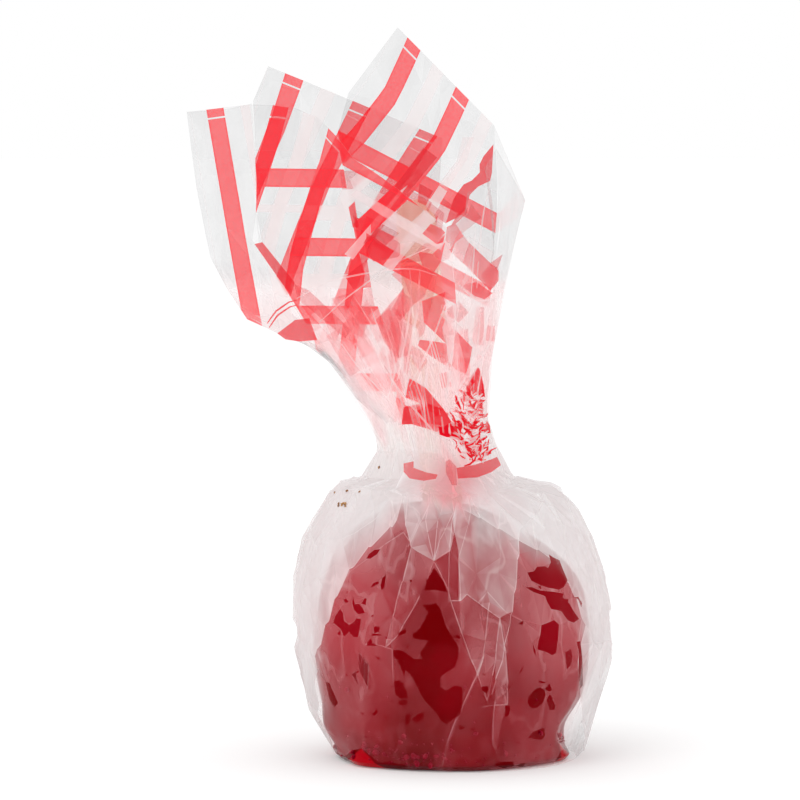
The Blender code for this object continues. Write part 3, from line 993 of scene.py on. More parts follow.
class Printing:
    """first is where its first red stripe meets the rim, and gap is how far apart the stripes are.
    bend moves the stripes along with depth, and narrowing brings them together, as a share for
    each millimetre down. bands is the depth of the first band across, its slope against the rim
    and how far apart the bands are. until is how far across the stripes go on, and since is how
    far across the lower bands start.
    """

    def __init__(
            self, corner, along, first, gap, bend, bands=None, rim=None, until=500.0, since=-500.0,
            narrowing=0.0):
        self.corner = Vector(corner)
        self.along = Vector(along).normalized()
        self.down = Vector((self.along.y, -self.along.x))
        self.first, self.gap, self.bend, self.bands, self.rim = first, gap, bend, bands, rim
        self.until, self.since, self.narrowing = until, since, narrowing

    def at(self, spot):
        """The print's values at a place."""
        off = Vector((spot.x, spot.z)) - self.corner
        along, down = off.dot(self.along), off.dot(self.down)
        across = (along - self.first - between(self.bend, down)[0]) * PERIOD / self.gap
        across *= 1 + self.narrowing * min(max(down, 0.0), 22.0)
        edge = down
        if self.rim:
            edge = 0.85 * (between(self.rim, spot.x)[0] - spot.z)
        level = UNPRINTED
        if self.bands:
            depth, slope, gap = self.bands
            level = (down + slope * along - depth) * PERIOD / gap
        return {"across": across, "level": level, "edge": edge, "until": self.until, "since": self.since}


SIDE_FOLD = (
    (-18, -2, 85.5), (-25.5, -5, 92), (-31.5, -9, 102.5), (-40, -12, 106.5), (-51.5, -14, 111),
    (-61, -10, 125), (-65, -6, 144), (-67.5, -4, 163.5))
FLAP_FOLD = (
    (-17, -8, 86), (-27.5, -13, 97), (-36, -18, 108), (-40.5, -20, 117.5), (-46, -21, 125),
    (-50.5, -22, 132), (-49, -22, 142), (-50, -22, 154.5), (-51, -22, 165.5))
FRONT_FOLD = ((-2.5, -11.5, 87), (-1, -20, 99.5), (0, -36, 115.5), (-1, -48, 127), (-2.5, -56, 136))
WAVY_FOLD = ((5.5, -6, 87.5), (7, -11, 99), (8.5, -17, 117), (11, -20, 134.5), (10, -20, 154.5))
RIGHT_FOLD = ((7.5, -2, 86.5), (8, -6, 97.5), (9.5, -12, 104.5), (12.5, -24, 123.5), (17, -28, 142))
BACK_FOLD = ((7, 4, 86), (7, 6, 98), (9, 9, 115.5), (11, 9, 141), (10, 8, 160))
TALL_FOLD = (
    (-12.5, 9, 85.5), (-17.5, 10, 103), (-23, 12, 120.5), (-26.5, 14, 141), (-30, 17, 157.5),
    (-28, 20, 167), (-14.5, 26, 185))
HIDDEN_FOLD = ((-4.5, 11, 85.5), (-6, 14, 107.5), (-5, 17, 125.5), (-4, 19, 141), (-3, 22, 156.5))
REAR_FOLD = (
    (-17.5, 4, 86), (-26.5, 2, 96), (-38, 0, 109.5), (-49, 0, 128.5), (-50.5, 3, 141), (-50.5, 7, 154),
    (-51.5, 10, 165.5), (-47.5, 14, 175))
MIDDLE_FOLD = (
    (-12, -12, 86.5), (-13, -15, 93), (-15, -18, 102), (-18, -22, 112), (-22, -26, 122),
    (-25, -31, 132.5), (-26.5, -35, 142.5), (-28, -38, 152), (-29.5, -40, 158))
FRONT_RIM = (
    (-51, -22, 165.5), (-46, -26, 165.5), (-41, -30, 165), (-35.5, -34.5, 163.5), (-32, -37.5, 161),
    (-29.5, -40, 158))
FOLD_RIM = ((-29.5, -40, 158), (-27.5, -41, 154), (-16.5, -48, 147), (-9, -52, 141), (-2.5, -56, 136))
WAVY_RIM = (
    (-2.5, -56, 136), (3, -47, 141), (2.5, -40, 145), (9, -34, 147), (7, -27, 150), (10, -20, 154.5))

PANELS = {
    "fan_side_flap": Panel(SIDE_FOLD, FLAP_FOLD, ((-67.5, -4, 163.5), (-51, -22, 165.5))),
    "fan_front": Panel(FLAP_FOLD, MIDDLE_FOLD, FRONT_RIM),
    "fan_front_fold": Panel(MIDDLE_FOLD, FRONT_FOLD, FOLD_RIM),
    "fan_wavy_side": Panel(FRONT_FOLD, WAVY_FOLD, WAVY_RIM),
    "fan_right": Panel(WAVY_FOLD, RIGHT_FOLD, ((10, -20, 154.5), (17, -28, 142))),
    "fan_right_back": Panel(RIGHT_FOLD, BACK_FOLD, ((17, -28, 142), (10, 8, 160))),
    "fan_tall": Panel(TALL_FOLD, BACK_FOLD, ((-14.5, 26, 185), (10, 8, 160)), behind=True),
    "fan_rear": Panel(
        REAR_FOLD, HIDDEN_FOLD, ((-47.5, 14, 175), (-28, 20, 167), (-3, 22, 156.5)), behind=True),
    "fan_left_back": Panel(
        SIDE_FOLD, REAR_FOLD[:-1], ((-67.5, -4, 163.5), (-59, 4, 163.8), (-51.5, 10, 165.5)), behind=True),
}
# How the stripes bend on the two panels that share one run of print.
FRONT_BEND = ((0, 0), (10, 4.0), (14, 5.3), (28, 7.0), (43, 6.9), (70, 4.0))
# The panels that aren't here are bare.
PRINTS = {
    "fan_side_flap": Printing((-67.5, 163.5), (0.99, 0.14), 7.45, 16.8, ((0, 0), (50, 1.6))),
    "fan_front": Printing(
        (-51, 166), (1, 0), 8.0, 15.4,
        ((0, 0), (7.5, -2.1), (16.5, -4.6), (24, -7.9), (41.5, -12.4), (65, -15.0)), (18.5, 0.0, 17.1),
        [(p[0], p[2]) for p in FRONT_RIM], since=15.0),
    "fan_front_fold": Printing(
        (-14.5, 185), (0.70, -0.714), 5.0, 17.6, FRONT_BEND, (36.0, 0.33, 18.4), until=30.4),
    "fan_tall": Printing(
        (-14.5, 185), (0.70, -0.714), 6.0, 17.6, FRONT_BEND, (34.5, 0.33, 18.4), until=30.4),
    "fan_rear": Printing(
        (-47.5, 175), (0.925, -0.38), 7.15, 18.6, ((0, 0), (11, 0.8), (50, 1.5)), narrowing=0.008),
}
# The fan's left edge, as how far across it lies at a height.
SIDE_EDGE = sorted((z, x) for x, _, z in SIDE_FOLD)
# How hazy the film is where it is clear: on a panel that is seen alone, and on those that are seen
# with another behind them.
LONE_HAZE = 0.21
CLEAR_HAZE = {
    "fan_side_flap": 0.13, "fan_left_back": 0.10, "fan_front": 0.10, "fan_front_fold": 0.10,
    "fan_wavy_side": 0.13, "fan_right": 0.12, "fan_right_back": 0.11,
}
FAN_SEED = 40


def fan_marks(spot, printing, clear):
    """The film above the neck is clear at its rim and milky where it is gathered."""
    low = fade(0.0, 1.0, (130.0 - spot.z) / 32.0)
    neck = fade(0.0, 1.0, (100.0 - spot.z) / 13.0)
    hidden = math.exp(-(((spot.x + 3.0) / 8.0) ** 2)) * fade(0.0, 1.0, (141.0 - spot.z) / 8.0)
    haze = clear + (0.55 - clear) * low + 0.22 * hidden + 0.03 * wobble(spot, 8.0, 2.2)
    inwards = spot.x - between(SIDE_EDGE, spot.z)[0]
    bare_edge = fade(0.0, 1.0, (112.0 - spot.z) / 8.0) * (1 - fade(1.5, 8.0, inwards))
    haze *= 1 - 0.55 * bare_edge
    # Painted pink glow of the red below, low in the fan and over the stick.
    blush = ((0.5 - 0.2 * neck) * low + 0.15 * hidden) * (1 - bare_edge)
    marks = {"haze": haze, "blush": blush, "ink": 1 - bare_edge}
    bare = {"across": UNPRINTED, "level": UNPRINTED, "edge": 50.0, "until": 0.0, "since": 0.0}
    marks.update(printing.at(spot) if printing else bare)
    return marks


def fan_panel(name, panel, printing, material, seed):
    """The film of one panel, with fine creases that run up from the neck."""
    rng = random.Random(seed)
    width, height = panel.size()
    creases = []
    crease_gap = 7.0 if name in ("fan_right", "fan_right_back") else 3.2
    count = max(3, round(width / crease_gap))
    for index in range(count):
        start = (index + rng.uniform(0.2, 0.8)) / count
        reach = rng.uniform(0.12, 0.5)
        middle, top = start + rng.uniform(-0.03, 0.03), start + rng.uniform(-0.08, 0.08)
        points = [
            (start * width, 0.0), (middle * width, reach * 0.55 * height), (top * width, reach * height)]
        points = [(min(max(x, 0.2), width - 0.2), y) for x, y in points]
        creases.append((rng.uniform(0.1, 0.7), rng.choice((-1, 1)) * rng.uniform(0.4, 1.5), points))
    gleam = 0.85 if name == "fan_front_fold" else 0.4
    net = film_net(width, height, 6.0, creases, rng, rim_gleam=gleam, small=(0.06, 0.12), tall=1.5)
    clear = CLEAR_HAZE.get(name, LONE_HAZE)

    def outward(x, y):
        """Out of the panel, and less so towards its flatter rim."""
        return panel.out(x / width, y / height) * (1 - 0.8 * fade(0.35, 0.75, y / height))

    film = Film(rng)
    film.add_net(
        net, lambda x, y: panel.at(x / width, y / height), outward,
        lambda spot, middle: fan_marks(spot, printing, clear), 0.22,
        lambda spot: 0.15 + 0.4 * fade(0.0, 1.0, (132.0 - spot.z) / 25.0))
    return film.piece(name, material, sharp=10.0)


def fan_of_film():
    material = printed_film("printed_film")
    return [
        fan_panel(name, panel, PRINTS.get(name), material, FAN_SEED + index)
        for index, (name, panel) in enumerate(PANELS.items())]


# ---------------------------------------------------------------- print and pleats in the gathered folds

# Print that shows at odd angles in the gathered folds: how red, then its outline across and up.
FOLD_PRINT = (
    (0.5, (
        (-14.5, 141.5), (-11, 144.5), (-6, 141.5), (-9, 135), (-14.5, 128.5), (-20.5, 127.5),
        (-22, 130.5))),
    (0.45, ((-6.5, 141.5), (-3, 139), (-4, 133), (-9, 127.5), (-14.5, 127), (-10.5, 134))),
    (0.45, ((-28.5, 149.5), (-20, 149.5), (-25.5, 145), (-28, 145))),
    (0.78, ((-8, 154.5), (-4.5, 152), (-11, 144.5), (-20, 133), (-23, 131.5), (-16, 144))),
    (0.95, ((-26.5, 140.5), (-25, 142), (-24, 135.5), (-25.5, 135.5))),
    (0.78, ((-23.5, 135), (-22, 128.5), (-18, 126), (-15, 129.5), (-20, 133))),
    (0.38, ((-14, 125.5), (-8, 132), (-3, 133), (-6, 117.5), (-8, 109), (-9.5, 107.5), (-11, 117.5))),
    (1.0, (
        (9.5, 155.5), (7, 152.5), (6, 150.5), (6, 148.5), (4, 146.5), (2, 145.5), (0.5, 143.5),
        (-0.5, 142), (-2.5, 136), (0.5, 137.5), (2.5, 139.5), (3.5, 143), (5.5, 145), (8.5, 146.5),
        (9, 148.5))),
    (0.78, ((0, 139), (2, 141), (2.5, 139.5), (0.5, 137.5), (-2, 135.5))),
    (0.78, ((-9, 145.5), (-5.5, 143.5), (-7.5, 140), (-9.5, 141))),
    (0.5, ((-3, 142), (-1, 140.5), (-2.5, 136), (-5.5, 138))),
    (0.45, ((3.5, 141.5), (4.5, 140), (6, 138), (4.5, 137), (3.5, 138), (2.5, 139))),
    (0.3, ((2.5, 139.5), (4.5, 137), (1, 134.5), (-0.5, 136.5))),
    (0.78, ((-2.5, 136), (-0.5, 137), (1.5, 134), (-0.5, 132.5), (-1.5, 130), (-3, 132.5))),
    (0.42, ((1.5, 134), (3, 132), (1.5, 127), (-1.5, 130), (-0.5, 132.5))),
    (0.78, ((3, 132), (8.5, 126.5), (10.5, 124.5), (10.5, 122), (8.5, 119.5), (1.5, 127))),
    (0.5, ((6, 123.5), (8.5, 126.5), (10.5, 125), (10, 122), (8.5, 119.5))),
    (0.6, ((8.5, 126.5), (11.5, 128.5), (10.5, 125.5), (10, 124.5))),
    (0.78, ((1, 121.5), (5, 122), (9, 119), (7, 117.5), (4.5, 118.5))),
    (0.78, ((-6.5, 137), (-4, 136), (-3, 135), (-5, 132), (-8.5, 134.5))),
    (0.95, ((-3, 134.5), (-3.5, 132.5), (-5, 132), (-4, 133.5))),
    (0.78, ((-9.5, 130), (-6, 129.5), (-3, 132.5), (-4, 127.5), (-5.5, 125), (-8.5, 126.5))),
    (0.3, ((-3, 132.5), (-1.5, 130), (-2, 128.5), (-4, 127.5))),
    (0.5, (
        (-16, 124), (-13, 126), (-9.5, 126.5), (-5.5, 125), (-8, 118.5), (-10.5, 116.5), (-14, 112),
        (-16, 115), (-13, 121))),
    (0.78, (
        (-8.5, 117.5), (-2.5, 120), (-2.5, 115.5), (-4, 114), (4, 105.5), (3.5, 102), (2.5, 98.5),
        (-3, 101), (-6, 103), (-9.5, 106), (-9, 107.5), (-5, 107), (-2.5, 106.5), (-8, 112))),
    (0.4, ((-2.5, 115.5), (0.5, 117.5), (3, 114.5), (0.5, 112), (-2, 114))),
    (1.0, ((-11.5, 97.5), (-7.5, 95), (-3, 89.5), (-4.5, 87.5), (-9, 91), (-12.5, 92.5), (-12, 95.5))),
    (1.1, (
        (-13, 90), (-10.5, 90.5), (-7.5, 91), (-3, 89.5), (-1, 86.2), (-3, 84.8), (-4.6, 83.5),
        (-7, 84.4), (-11, 85.6), (-13.5, 85.5))),
    (0.95, ((-13, 90.5), (-11, 90), (-8.5, 89), (-9, 88), (-11.5, 89))),
    (1.3, ((5.5, 100), (4, 98), (2.5, 95), (3.5, 94.5), (5, 96.5), (6, 99.5))),
    (1.2, ((6, 99.5), (7, 95.5), (7.5, 92), (5.5, 93.5), (3, 94))),
    (0.5, ((-19, 113), (-16.5, 115.5), (-15, 110), (-14, 102), (-16.5, 105), (-19, 108))),
    (0.4, ((-13.5, 120), (-11, 117.5), (-11, 105), (-12, 98.5), (-13, 99), (-13, 110))),
    (0.35, ((-11, 106), (-9, 105), (-7, 102), (-9, 99), (-11, 102))),
    (0.5, ((-20, 112), (-13, 120.5), (-13, 113), (-14.5, 102), (-15.5, 100.5), (-17, 106))),
    (0.38, ((-31, 117.5), (-21, 120.5), (-20, 115), (-23.5, 107.5), (-26, 109), (-27.5, 112.5))),
    (0.25, ((-25.5, 112.5), (-22, 117.5), (-21, 114.5), (-23.5, 108))),
    (0.78, ((-27.5, 123), (-22, 127.5), (-21, 120.5), (-25.5, 120))),
    (0.95, ((-50, 131), (-48, 131.5), (-40, 121.5), (-41, 118))),
    (0.5, ((-40, 121), (-36.5, 119.5), (-26, 109.5), (-27.5, 107.5), (-39.5, 117.5))),
    (0.95, ((-44.5, 108.5), (-40, 112), (-36.5, 112.5), (-34.5, 107), (-39, 106.5), (-42.5, 107))),
)
# The foot of the print, on the collar below the tape.
COLLAR_PRINT = (
    (0.8, (
        (-13, 76), (-10.5, 76.5), (-10.5, 75), (-7.5, 74), (-4.5, 73.5), (-5, 72.5), (-8, 72),
        (-11.5, 72.5), (-13, 74))),
    (0.55, ((-2.5, 76.5), (-1.5, 77), (0.2, 75.2), (0.2, 71), (-1, 71), (-2.5, 74))),
    (0.9, ((0.2, 75), (5, 75.5), (9, 76.5), (10.5, 77), (11.5, 75), (9, 73.5), (5.5, 72.5), (0.5, 72.5))),
)
# White bands that cross them, in the same way.
FOLD_WHITE = (
    (0.72, ((-4, 145), (-2, 143.5), (-5.5, 138), (-7.5, 140))),
    (0.5, ((-7.5, 140), (-5.5, 138), (-16, 125), (-18, 126.5))),
    (0.3, ((2, 157), (5, 157), (3, 151), (-2, 143.5), (-4, 145), (0.5, 151))),
    (0.4, ((-26, 143.5), (-24.5, 145), (-14, 139), (-3, 133), (-4, 130.5), (-14, 136))),
    (0.5, ((-14, 144.5), (-12, 146), (-25.5, 127.5), (-27.5, 129))),
)
# Bright pleat edges, painted highlights on the milkier doubled film of each pleat: half width, then the run
# across and up.
PLEAT_EDGE_GLEAMS = (
    (0.2, ((-39.5, 117.5), (-31.5, 122), (-22.5, 124), (-14, 125.5), (-9.5, 125.5), (-5, 124))),
    (0.18, ((-34, 111.5), (-27.5, 117.5), (-19, 124), (-14, 127.5), (-4, 132.5))),
    (0.18, ((5, 120.5), (5.5, 130.5), (6.5, 139), (8.5, 147.5))),
    (0.2, ((0.5, 121.5), (5.5, 117), (10, 117.5))),
    (0.25, ((-11.5, 125.5), (-11, 117.5), (-12.5, 107.5), (-14.5, 97))),
    (0.3, ((-9, 126), (-9.5, 115), (-11.5, 105), (-12.5, 98.5))),
    (0.22, ((-2.5, 117.5), (-5, 110), (-7.5, 103.5), (-11.5, 95.5))),
    (0.25, ((-12.5, 92), (-16, 97), (-17.5, 105), (-21, 115))),
    (0.14, ((3.5, 117.5), (4.5, 135.5))),
    (0.25, ((8, 117.5), (7, 107.5), (3.5, 99), (-1, 92))),
    (0.25, ((10, 117.5), (8.5, 106), (4.5, 98.5), (0, 91))),
    (0.25, ((-18, 112.5), (-16, 106), (-15, 99.5), (-17, 92))),
    (0.2, ((-28.5, 106), (-25, 101), (-20, 95.5), (-16, 91))),
    (0.25, ((-12.5, 92), (-6.5, 85), (-4, 81.5))),
    (0.22, ((6, 115), (5.5, 105), (1.5, 95.5))),
)
# Where the crumple at the neck is red right through.
SOLID_CRUMPLE = (
    (-4.3, 85), (-2.9, 85), (-1.2, 86.1), (1.6, 86.7), (1.7, 84.9), (1.2, 83.2), (1.6, 81.3), (0.4, 81.6),
    (-0.6, 82.2), (-2.3, 82.4), (-4, 83))
HIGH_CRUMPLE = ((2.5, 93), (2, 96), (3.5, 99), (5.5, 100.5), (7, 99.5), (7, 96.5), (5, 93.5))
# A thin double arc printed on the left flap.
FLAP_ARCS = (
    (0.22, ((-47, 111), (-45, 114), (-41.5, 116.5), (-39.5, 117))),
    (0.22, ((-46.5, 110), (-44.5, 113), (-41.5, 115.2), (-39.5, 115.8))),
)


def film_tree(pieces):
    """The facets of all these pieces, to find places on them."""
    points, faces = [], []
    for piece in pieces:
        first = len(points)
        points.extend(vertex.co / MM for vertex in piece.data.vertices)
        faces.extend(tuple(first + i for i in face.vertices) for face in piece.data.polygons)
    return BVHTree.FromPolygons(points, faces)


def front_finder(pieces):
    """A way to find the front of the film at a place across and up."""
    tree = film_tree(pieces)

    def hit(x, z):
        found = tree.ray_cast(Vector((x, -200, z)), Vector((0, 1, 0)))[0]
        return found.y if found else None

    def front(x, z, out=0.0):
        near = [hit(x + dx, z + dz) for dx, dz in ((0, 0), (2, 0), (-2, 0), (0, 2.5), (0, -2.5))]
        found = [y for y in near if y is not None]
        if near[0] is None:
            found.append(tree.find_nearest(Vector((x, -60, z)))[0].y)
        middle = sum(found) / len(found)
        return Vector((x, min(middle, near[0] if near[0] is not None else middle) - out, z))

    return front


# The second value is a painted pink glow of the red candy and print behind.
def film_marks(haze, blush, red=0.0):
    return {"haze": haze, "blush": blush, "red": red}


def lay_outline(film, front, outline, marks, out):
    """A flat patch cut to an outline and laid on the front of the film."""
    cell = 2.6
    chain = [Vector(place) for place in outline]
    dots = []
    for one, two in zip(chain, chain[1:] + chain[:1]):
        steps = max(1, round((two - one).length / cell))
        dots.extend(one.lerp(two, i / steps) for i in range(steps))
    edges = [(i, (i + 1) % len(dots)) for i in range(len(dots))]
    xs, zs = [dot.x for dot in chain], [dot.y for dot in chain]
    x = min(xs) + cell / 2
    while x < max(xs):
        z = min(zs) + cell / 2
        while z < max(zs):
            spot = Vector((x, z))
            if inside(x, z, outline) and min((spot - dot).length for dot in dots) > cell * 0.5:
                dots.append(spot)
            z += cell
        x += cell
    flat, _, triangles = delaunay_2d_cdt(dots, edges, [], 1, 1e-4)[:3]
    first = len(film.points)
    plane = lay_flat([front(x, z) for x, z in flat])
    film.points.extend(Vector((x, plane(x, z) - out, z)) for x, z in flat)
    for triangle in triangles:
        film.facet(
            [first + i for i in triangle], [film.points[first + i] for i in triangle],
            [dict(marks) for _ in triangle], (0.0, 0.0, 0.0))


def lay_flat(spots):
    """The depth, at a place across and up, of the flat that lies closest to these places."""
    middle = sum(spots, Vector((0, 0, 0))) / len(spots)
    rows = [spot - middle for spot in spots]
    xx = sum(row.x * row.x for row in rows) + 4.0
    zz = sum(row.z * row.z for row in rows) + 4.0
    xz = sum(row.x * row.z for row in rows)
    xy = sum(row.x * row.y for row in rows)
    zy = sum(row.z * row.y for row in rows)
    whole = xx * zz - xz * xz
    tilt_x = min(max((xy * zz - zy * xz) / whole, -1.0), 1.0)
    tilt_z = min(max((zy * xx - xy * xz) / whole, -1.0), 1.0)
    return lambda x, z: middle.y + tilt_x * (x - middle.x) + tilt_z * (z - middle.z)


def lay_run(film, front, half, run, marks, out, span=(0.0, 0.0), ink=0.0):
    """A thin strip laid along a run, tapered at both ends, with ink over a span of its length."""
    chain = Chain([(x, 0, z) for x, z in run])
    steps = max(3, round(chain.reach[-1] / 2.0))
    first = len(film.points)
    middles = [chain.at(i / steps) for i in range(steps + 1)]
    depths = [front(spot.x, spot.z).y for spot in middles]
    for i, here in enumerate(middles):
        way = (chain.at(min((i + 0.5) / steps, 1)) - chain.at(max((i - 0.5) / steps, 0))).normalized()
        taper = 0.35 + 0.65 * math.sin(math.pi * (0.08 + 0.84 * i / steps))
        side = Vector((way.z, 0, -way.x)) * half * taper
        near = depths[max(i - 2, 0):i + 3]
        depth = Vector((0, sum(near) / len(near) - out, 0))
        film.points.extend((here - side + depth, here + side + depth))
    for i in range(steps):
        a = first + 2 * i
        own = dict(marks, red=ink) if span[0] <= (i + 0.5) / steps < span[1] else marks
        film.face((a, a + 1, a + 3, a + 2), (0.0,) * 4, [dict(own) for _ in range(4)])


def fold_print(pieces):
    """Print and pleats that lie in the gathered folds, laid on the film in front."""
    front = front_finder(pieces)
    film = Film(random.Random(5))
    # How far each kind stands off the film. Those that overlap seldom lie in one plane.
    print_out, step_out, pleat_out, crumple_out, collar_out = 1.1, 0.06, 1.6, 1.8, 2.4
    patches = [
        (outline, film_marks(0.05, 0.0, red), print_out + step_out * (index % 7))
        for index, (red, outline) in enumerate(FOLD_PRINT)]
    patches += [(outline, film_marks(0.05, 0.0, red), collar_out) for red, outline in COLLAR_PRINT]
    patches.append((SOLID_CRUMPLE, film_marks(0.05, 0.0, 1.3), crumple_out))
    patches += [(outline, film_marks(haze, 0.2), pleat_out) for haze, outline in FOLD_WHITE]
    for outline, marks, out in patches:
        lay_outline(film, front, outline, marks, out)
    runs = [(half, run, film_marks(0.02, 0.0, 1.0)) for half, run in FLAP_ARCS]
    runs += [(half, run, film_marks(0.5, 0.15)) for half, run in PLEAT_EDGE_GLEAMS]
    for half, run, marks in runs:
        lay_run(film, front, half, run, marks, pleat_out)
    gather_pleats(film, front)
    return film.piece("fan_folded_print", band_film("folded_print"), sharp=20.0)


def gather_pleats(film, front, count=84):
    """Pleats that run up from the taped neck into the fan, some with print on them."""
    rng = random.Random(77)
    for index in range(count):
        share = (index + rng.random()) / count
        low = Vector((-17.5 + 23.5 * share, 0, rng.uniform(75.0, 90.0)))
        top = Vector((-40.0 + 49.0 * share + rng.uniform(-4, 4), 0, 121.0))
        reach = rng.uniform(0.35, 1.0)
        end = low.lerp(top, reach)
        middle = low.lerp(end, 0.5) + Vector((2.2 * (1 - share) * reach + rng.uniform(-0.6, 0.6), 0, 0))
        half = rng.choice((0.12, 0.2, 0.8, 1.3, 1.8, 2.4))
        fine = half < 0.5
        haze = rng.uniform(0.3, 0.55) if fine else rng.uniform(0.08, 0.26)
        start = rng.uniform(0.35, 0.8)
        has_print = not fine and reach > 0.5 and rng.random() < 0.4
        span = (start, start + rng.uniform(0.12, 0.3)) if has_print else (0.0, 0.0)
        marks = film_marks(haze, rng.uniform(0.15, 0.4))
        run = [(spot.x, spot.z) for spot in (low, middle, end)]
        over = rng.uniform(1.2, 1.7) if fine else rng.uniform(0.2, 0.7)
        lay_run(film, front, half, run, marks, over, span, rng.uniform(0.2, 0.45))


def crumple_facets(film, front, middle):
    """Fine facets in an oval round the middle, each with a scrap of red print."""
    rng, wide, high = film.rng, 4.6, 9.5
    rows, columns, field = 22, 34, 36
    turn = math.radians(-38)
    dots = []
    for row in range(rows):
        for column in range(columns):
            long = (row + 0.5 + rng.uniform(-0.45, 0.45)) / rows * field - field / 2
            short = (column + 0.5 + rng.uniform(-0.45, 0.45)) / columns * field - field / 2
            x = long * math.cos(turn) - short * math.sin(turn)
            z = long * math.sin(turn) + short * math.cos(turn)
            if (x / wide) ** 2 + (z / high) ** 2 < 1 + rng.uniform(-0.15, 0.1):
                dots.append((Vector((long / 1.7, short)), (middle.x + x - 0.05 * z, middle.y + z)))
    _, _, triangles, sources = delaunay_2d_cdt([flat for flat, _ in dots], [], [], 0, 1e-4)[:4]
    for source in sources:
        x, z = dots[source[0]][1]
        film.points.append(front(x, z, 1.2 + rng.uniform(-0.4, 0.6)))
    for triangle in triangles:
        spots = [film.points[i] for i in triangle]
        if max((spots[i] - spots[i - 1]).length for i in range(3)) > 6.0:
            continue
        centre = (spots[0] + spots[1] + spots[2]) / 3
        streak = wobble((centre.x * 0.9 - centre.z * 0.4, 0, centre.z + centre.x * 0.8), 2.4, 4.0)
        solid = any(inside(centre.x, centre.z, outline) for outline in (SOLID_CRUMPLE, HIGH_CRUMPLE))
        red = rng.uniform(1.1, 1.35) if solid or streak + rng.uniform(-0.2, 0.2) > 0.04 else 0.0
        mark = film_marks(rng.uniform(0.08, 0.5), 0.1, red)
        film.facet(triangle, spots, [dict(mark) for _ in triangle], (0.0, 0.0, 0.0))


def crumple_gleams(film, front, middle, shown, tries=620):
    """Short curved strips on the crumple: pale ones are painted glints, red ones scraps of print."""
    rng = film.rng
    for _ in range(tries):
        x = middle.x + rng.uniform(-6.5, 8.0)
        z = middle.y + rng.uniform(-10.0, 11.0)
        wide, high = 5.6 if z < 88 else 3.2, 9.5
        if ((x - 4.0 + 0.15 * (z - 84.0)) / wide) ** 2 + ((z - 85.0) / high) ** 2 > 1:
            continue
        turn = math.radians(rng.gauss(35 if x > 3.5 else -50, 18))
        long = rng.uniform(0.8, 2.4)
        bend = rng.uniform(-0.9, 0.9)
        run = []
        for s in (-1, -0.5, 0, 0.5, 1):
            bow = bend * (1 - s * s)
            run.append((
                x + s * long * math.cos(turn) - bow * math.sin(turn),
                z + s * long * math.sin(turn) + bow * math.cos(turn)))
        if not all(shown.ray_cast(Vector((px, -200, pz)), Vector((0, 1, 0)))[0] for px, pz in run):
            continue
        red = rng.random() < 0.45
        marks = film_marks(rng.uniform(0.1, 0.3) if red else rng.uniform(0.5, 0.8), 0.1)
        half, out = rng.uniform(0.12, 0.34), rng.uniform(1.3, 2.0)
        span = (0, 1.1) if red else (0, 0)
        lay_run(film, front, half, run, marks, out, span, rng.uniform(1.1, 1.35))


def neck_crumple(pieces):
    """The tight crumple at the right of the neck."""
    film = Film(random.Random(23))
    front, middle = front_finder(pieces), Vector((4.6, 86.0))
    crumple_facets(film, front, middle)
    crumple_gleams(film, front, middle, film_tree(pieces))
    return film.piece("neck_crumple", band_film("crumpled_print"), sharp=5.0)


# ---------------------------------------------------------------- drops and crumbs


def scatter(name, places, material, size, seed, cuts):
    """A grain on each place, turned and sized at random. One cut makes a crumb, and more a round drop."""
    jagged = cuts == 1
    tree = bpy.data.node_groups.new(name, "GeometryNodeTree")
    sockets = tree.interface
    sockets.new_socket("Geometry", in_out="INPUT", socket_type="NodeSocketGeometry")
    size_in = sockets.new_socket("Size", in_out="INPUT", socket_type="NodeSocketFloat")
    seed_in = sockets.new_socket("Seed", in_out="INPUT", socket_type="NodeSocketInt")
    sockets.new_socket("Geometry", in_out="OUTPUT", socket_type="NodeSocketGeometry")
    nodes = Nodes(tree)
    given = nodes.node("NodeGroupInput").outputs
    grain = nodes.node("GeometryNodeMeshIcoSphere", {"Subdivisions": cuts, "Radius": 1.0})

    def chance(least, most):
        feeds = {0: least, 1: most, "Seed": given["Seed"]}
        return nodes.node("FunctionNodeRandomValue", feeds, data_type="FLOAT_VECTOR")

    turn = chance((0, 0, 0), (math.tau, math.tau, math.tau))
    large = chance((0.35, 0.35, 0.35 * (0.4 if jagged else 1.0)), (1.0, 0.8, 0.6))
    sized = nodes.node("ShaderNodeVectorMath", {0: large, "Scale": given["Size"]}, operation="SCALE")
    put = nodes.node("GeometryNodeInstanceOnPoints", {
        "Points": given["Geometry"], "Instance": grain, "Rotation": turn, "Scale": sized})
    real = nodes.node("GeometryNodeRealizeInstances", {"Geometry": put})
    dress = nodes.node("GeometryNodeSetMaterial", {"Geometry": real, "Material": material})
    nodes.node("NodeGroupOutput", {"Geometry": dress})

    mesh = bpy.data.meshes.new(name)
    mesh.from_pydata([place * MM for place in places], [], [])
    piece = in_scene(name, mesh)
    modifier = piece.modifiers.new(name, "NODES")
    modifier.node_group = tree
    modifier[size_in.identifier] = size * MM
    modifier[seed_in.identifier] = seed
    bpy.context.view_layer.update()
    made = bpy.data.meshes.new_from_object(piece.evaluated_get(bpy.context.evaluated_depsgraph_get()))
    piece.modifiers.remove(modifier)
    piece.data = made
    if not jagged:
        made.shade_smooth()
    return piece


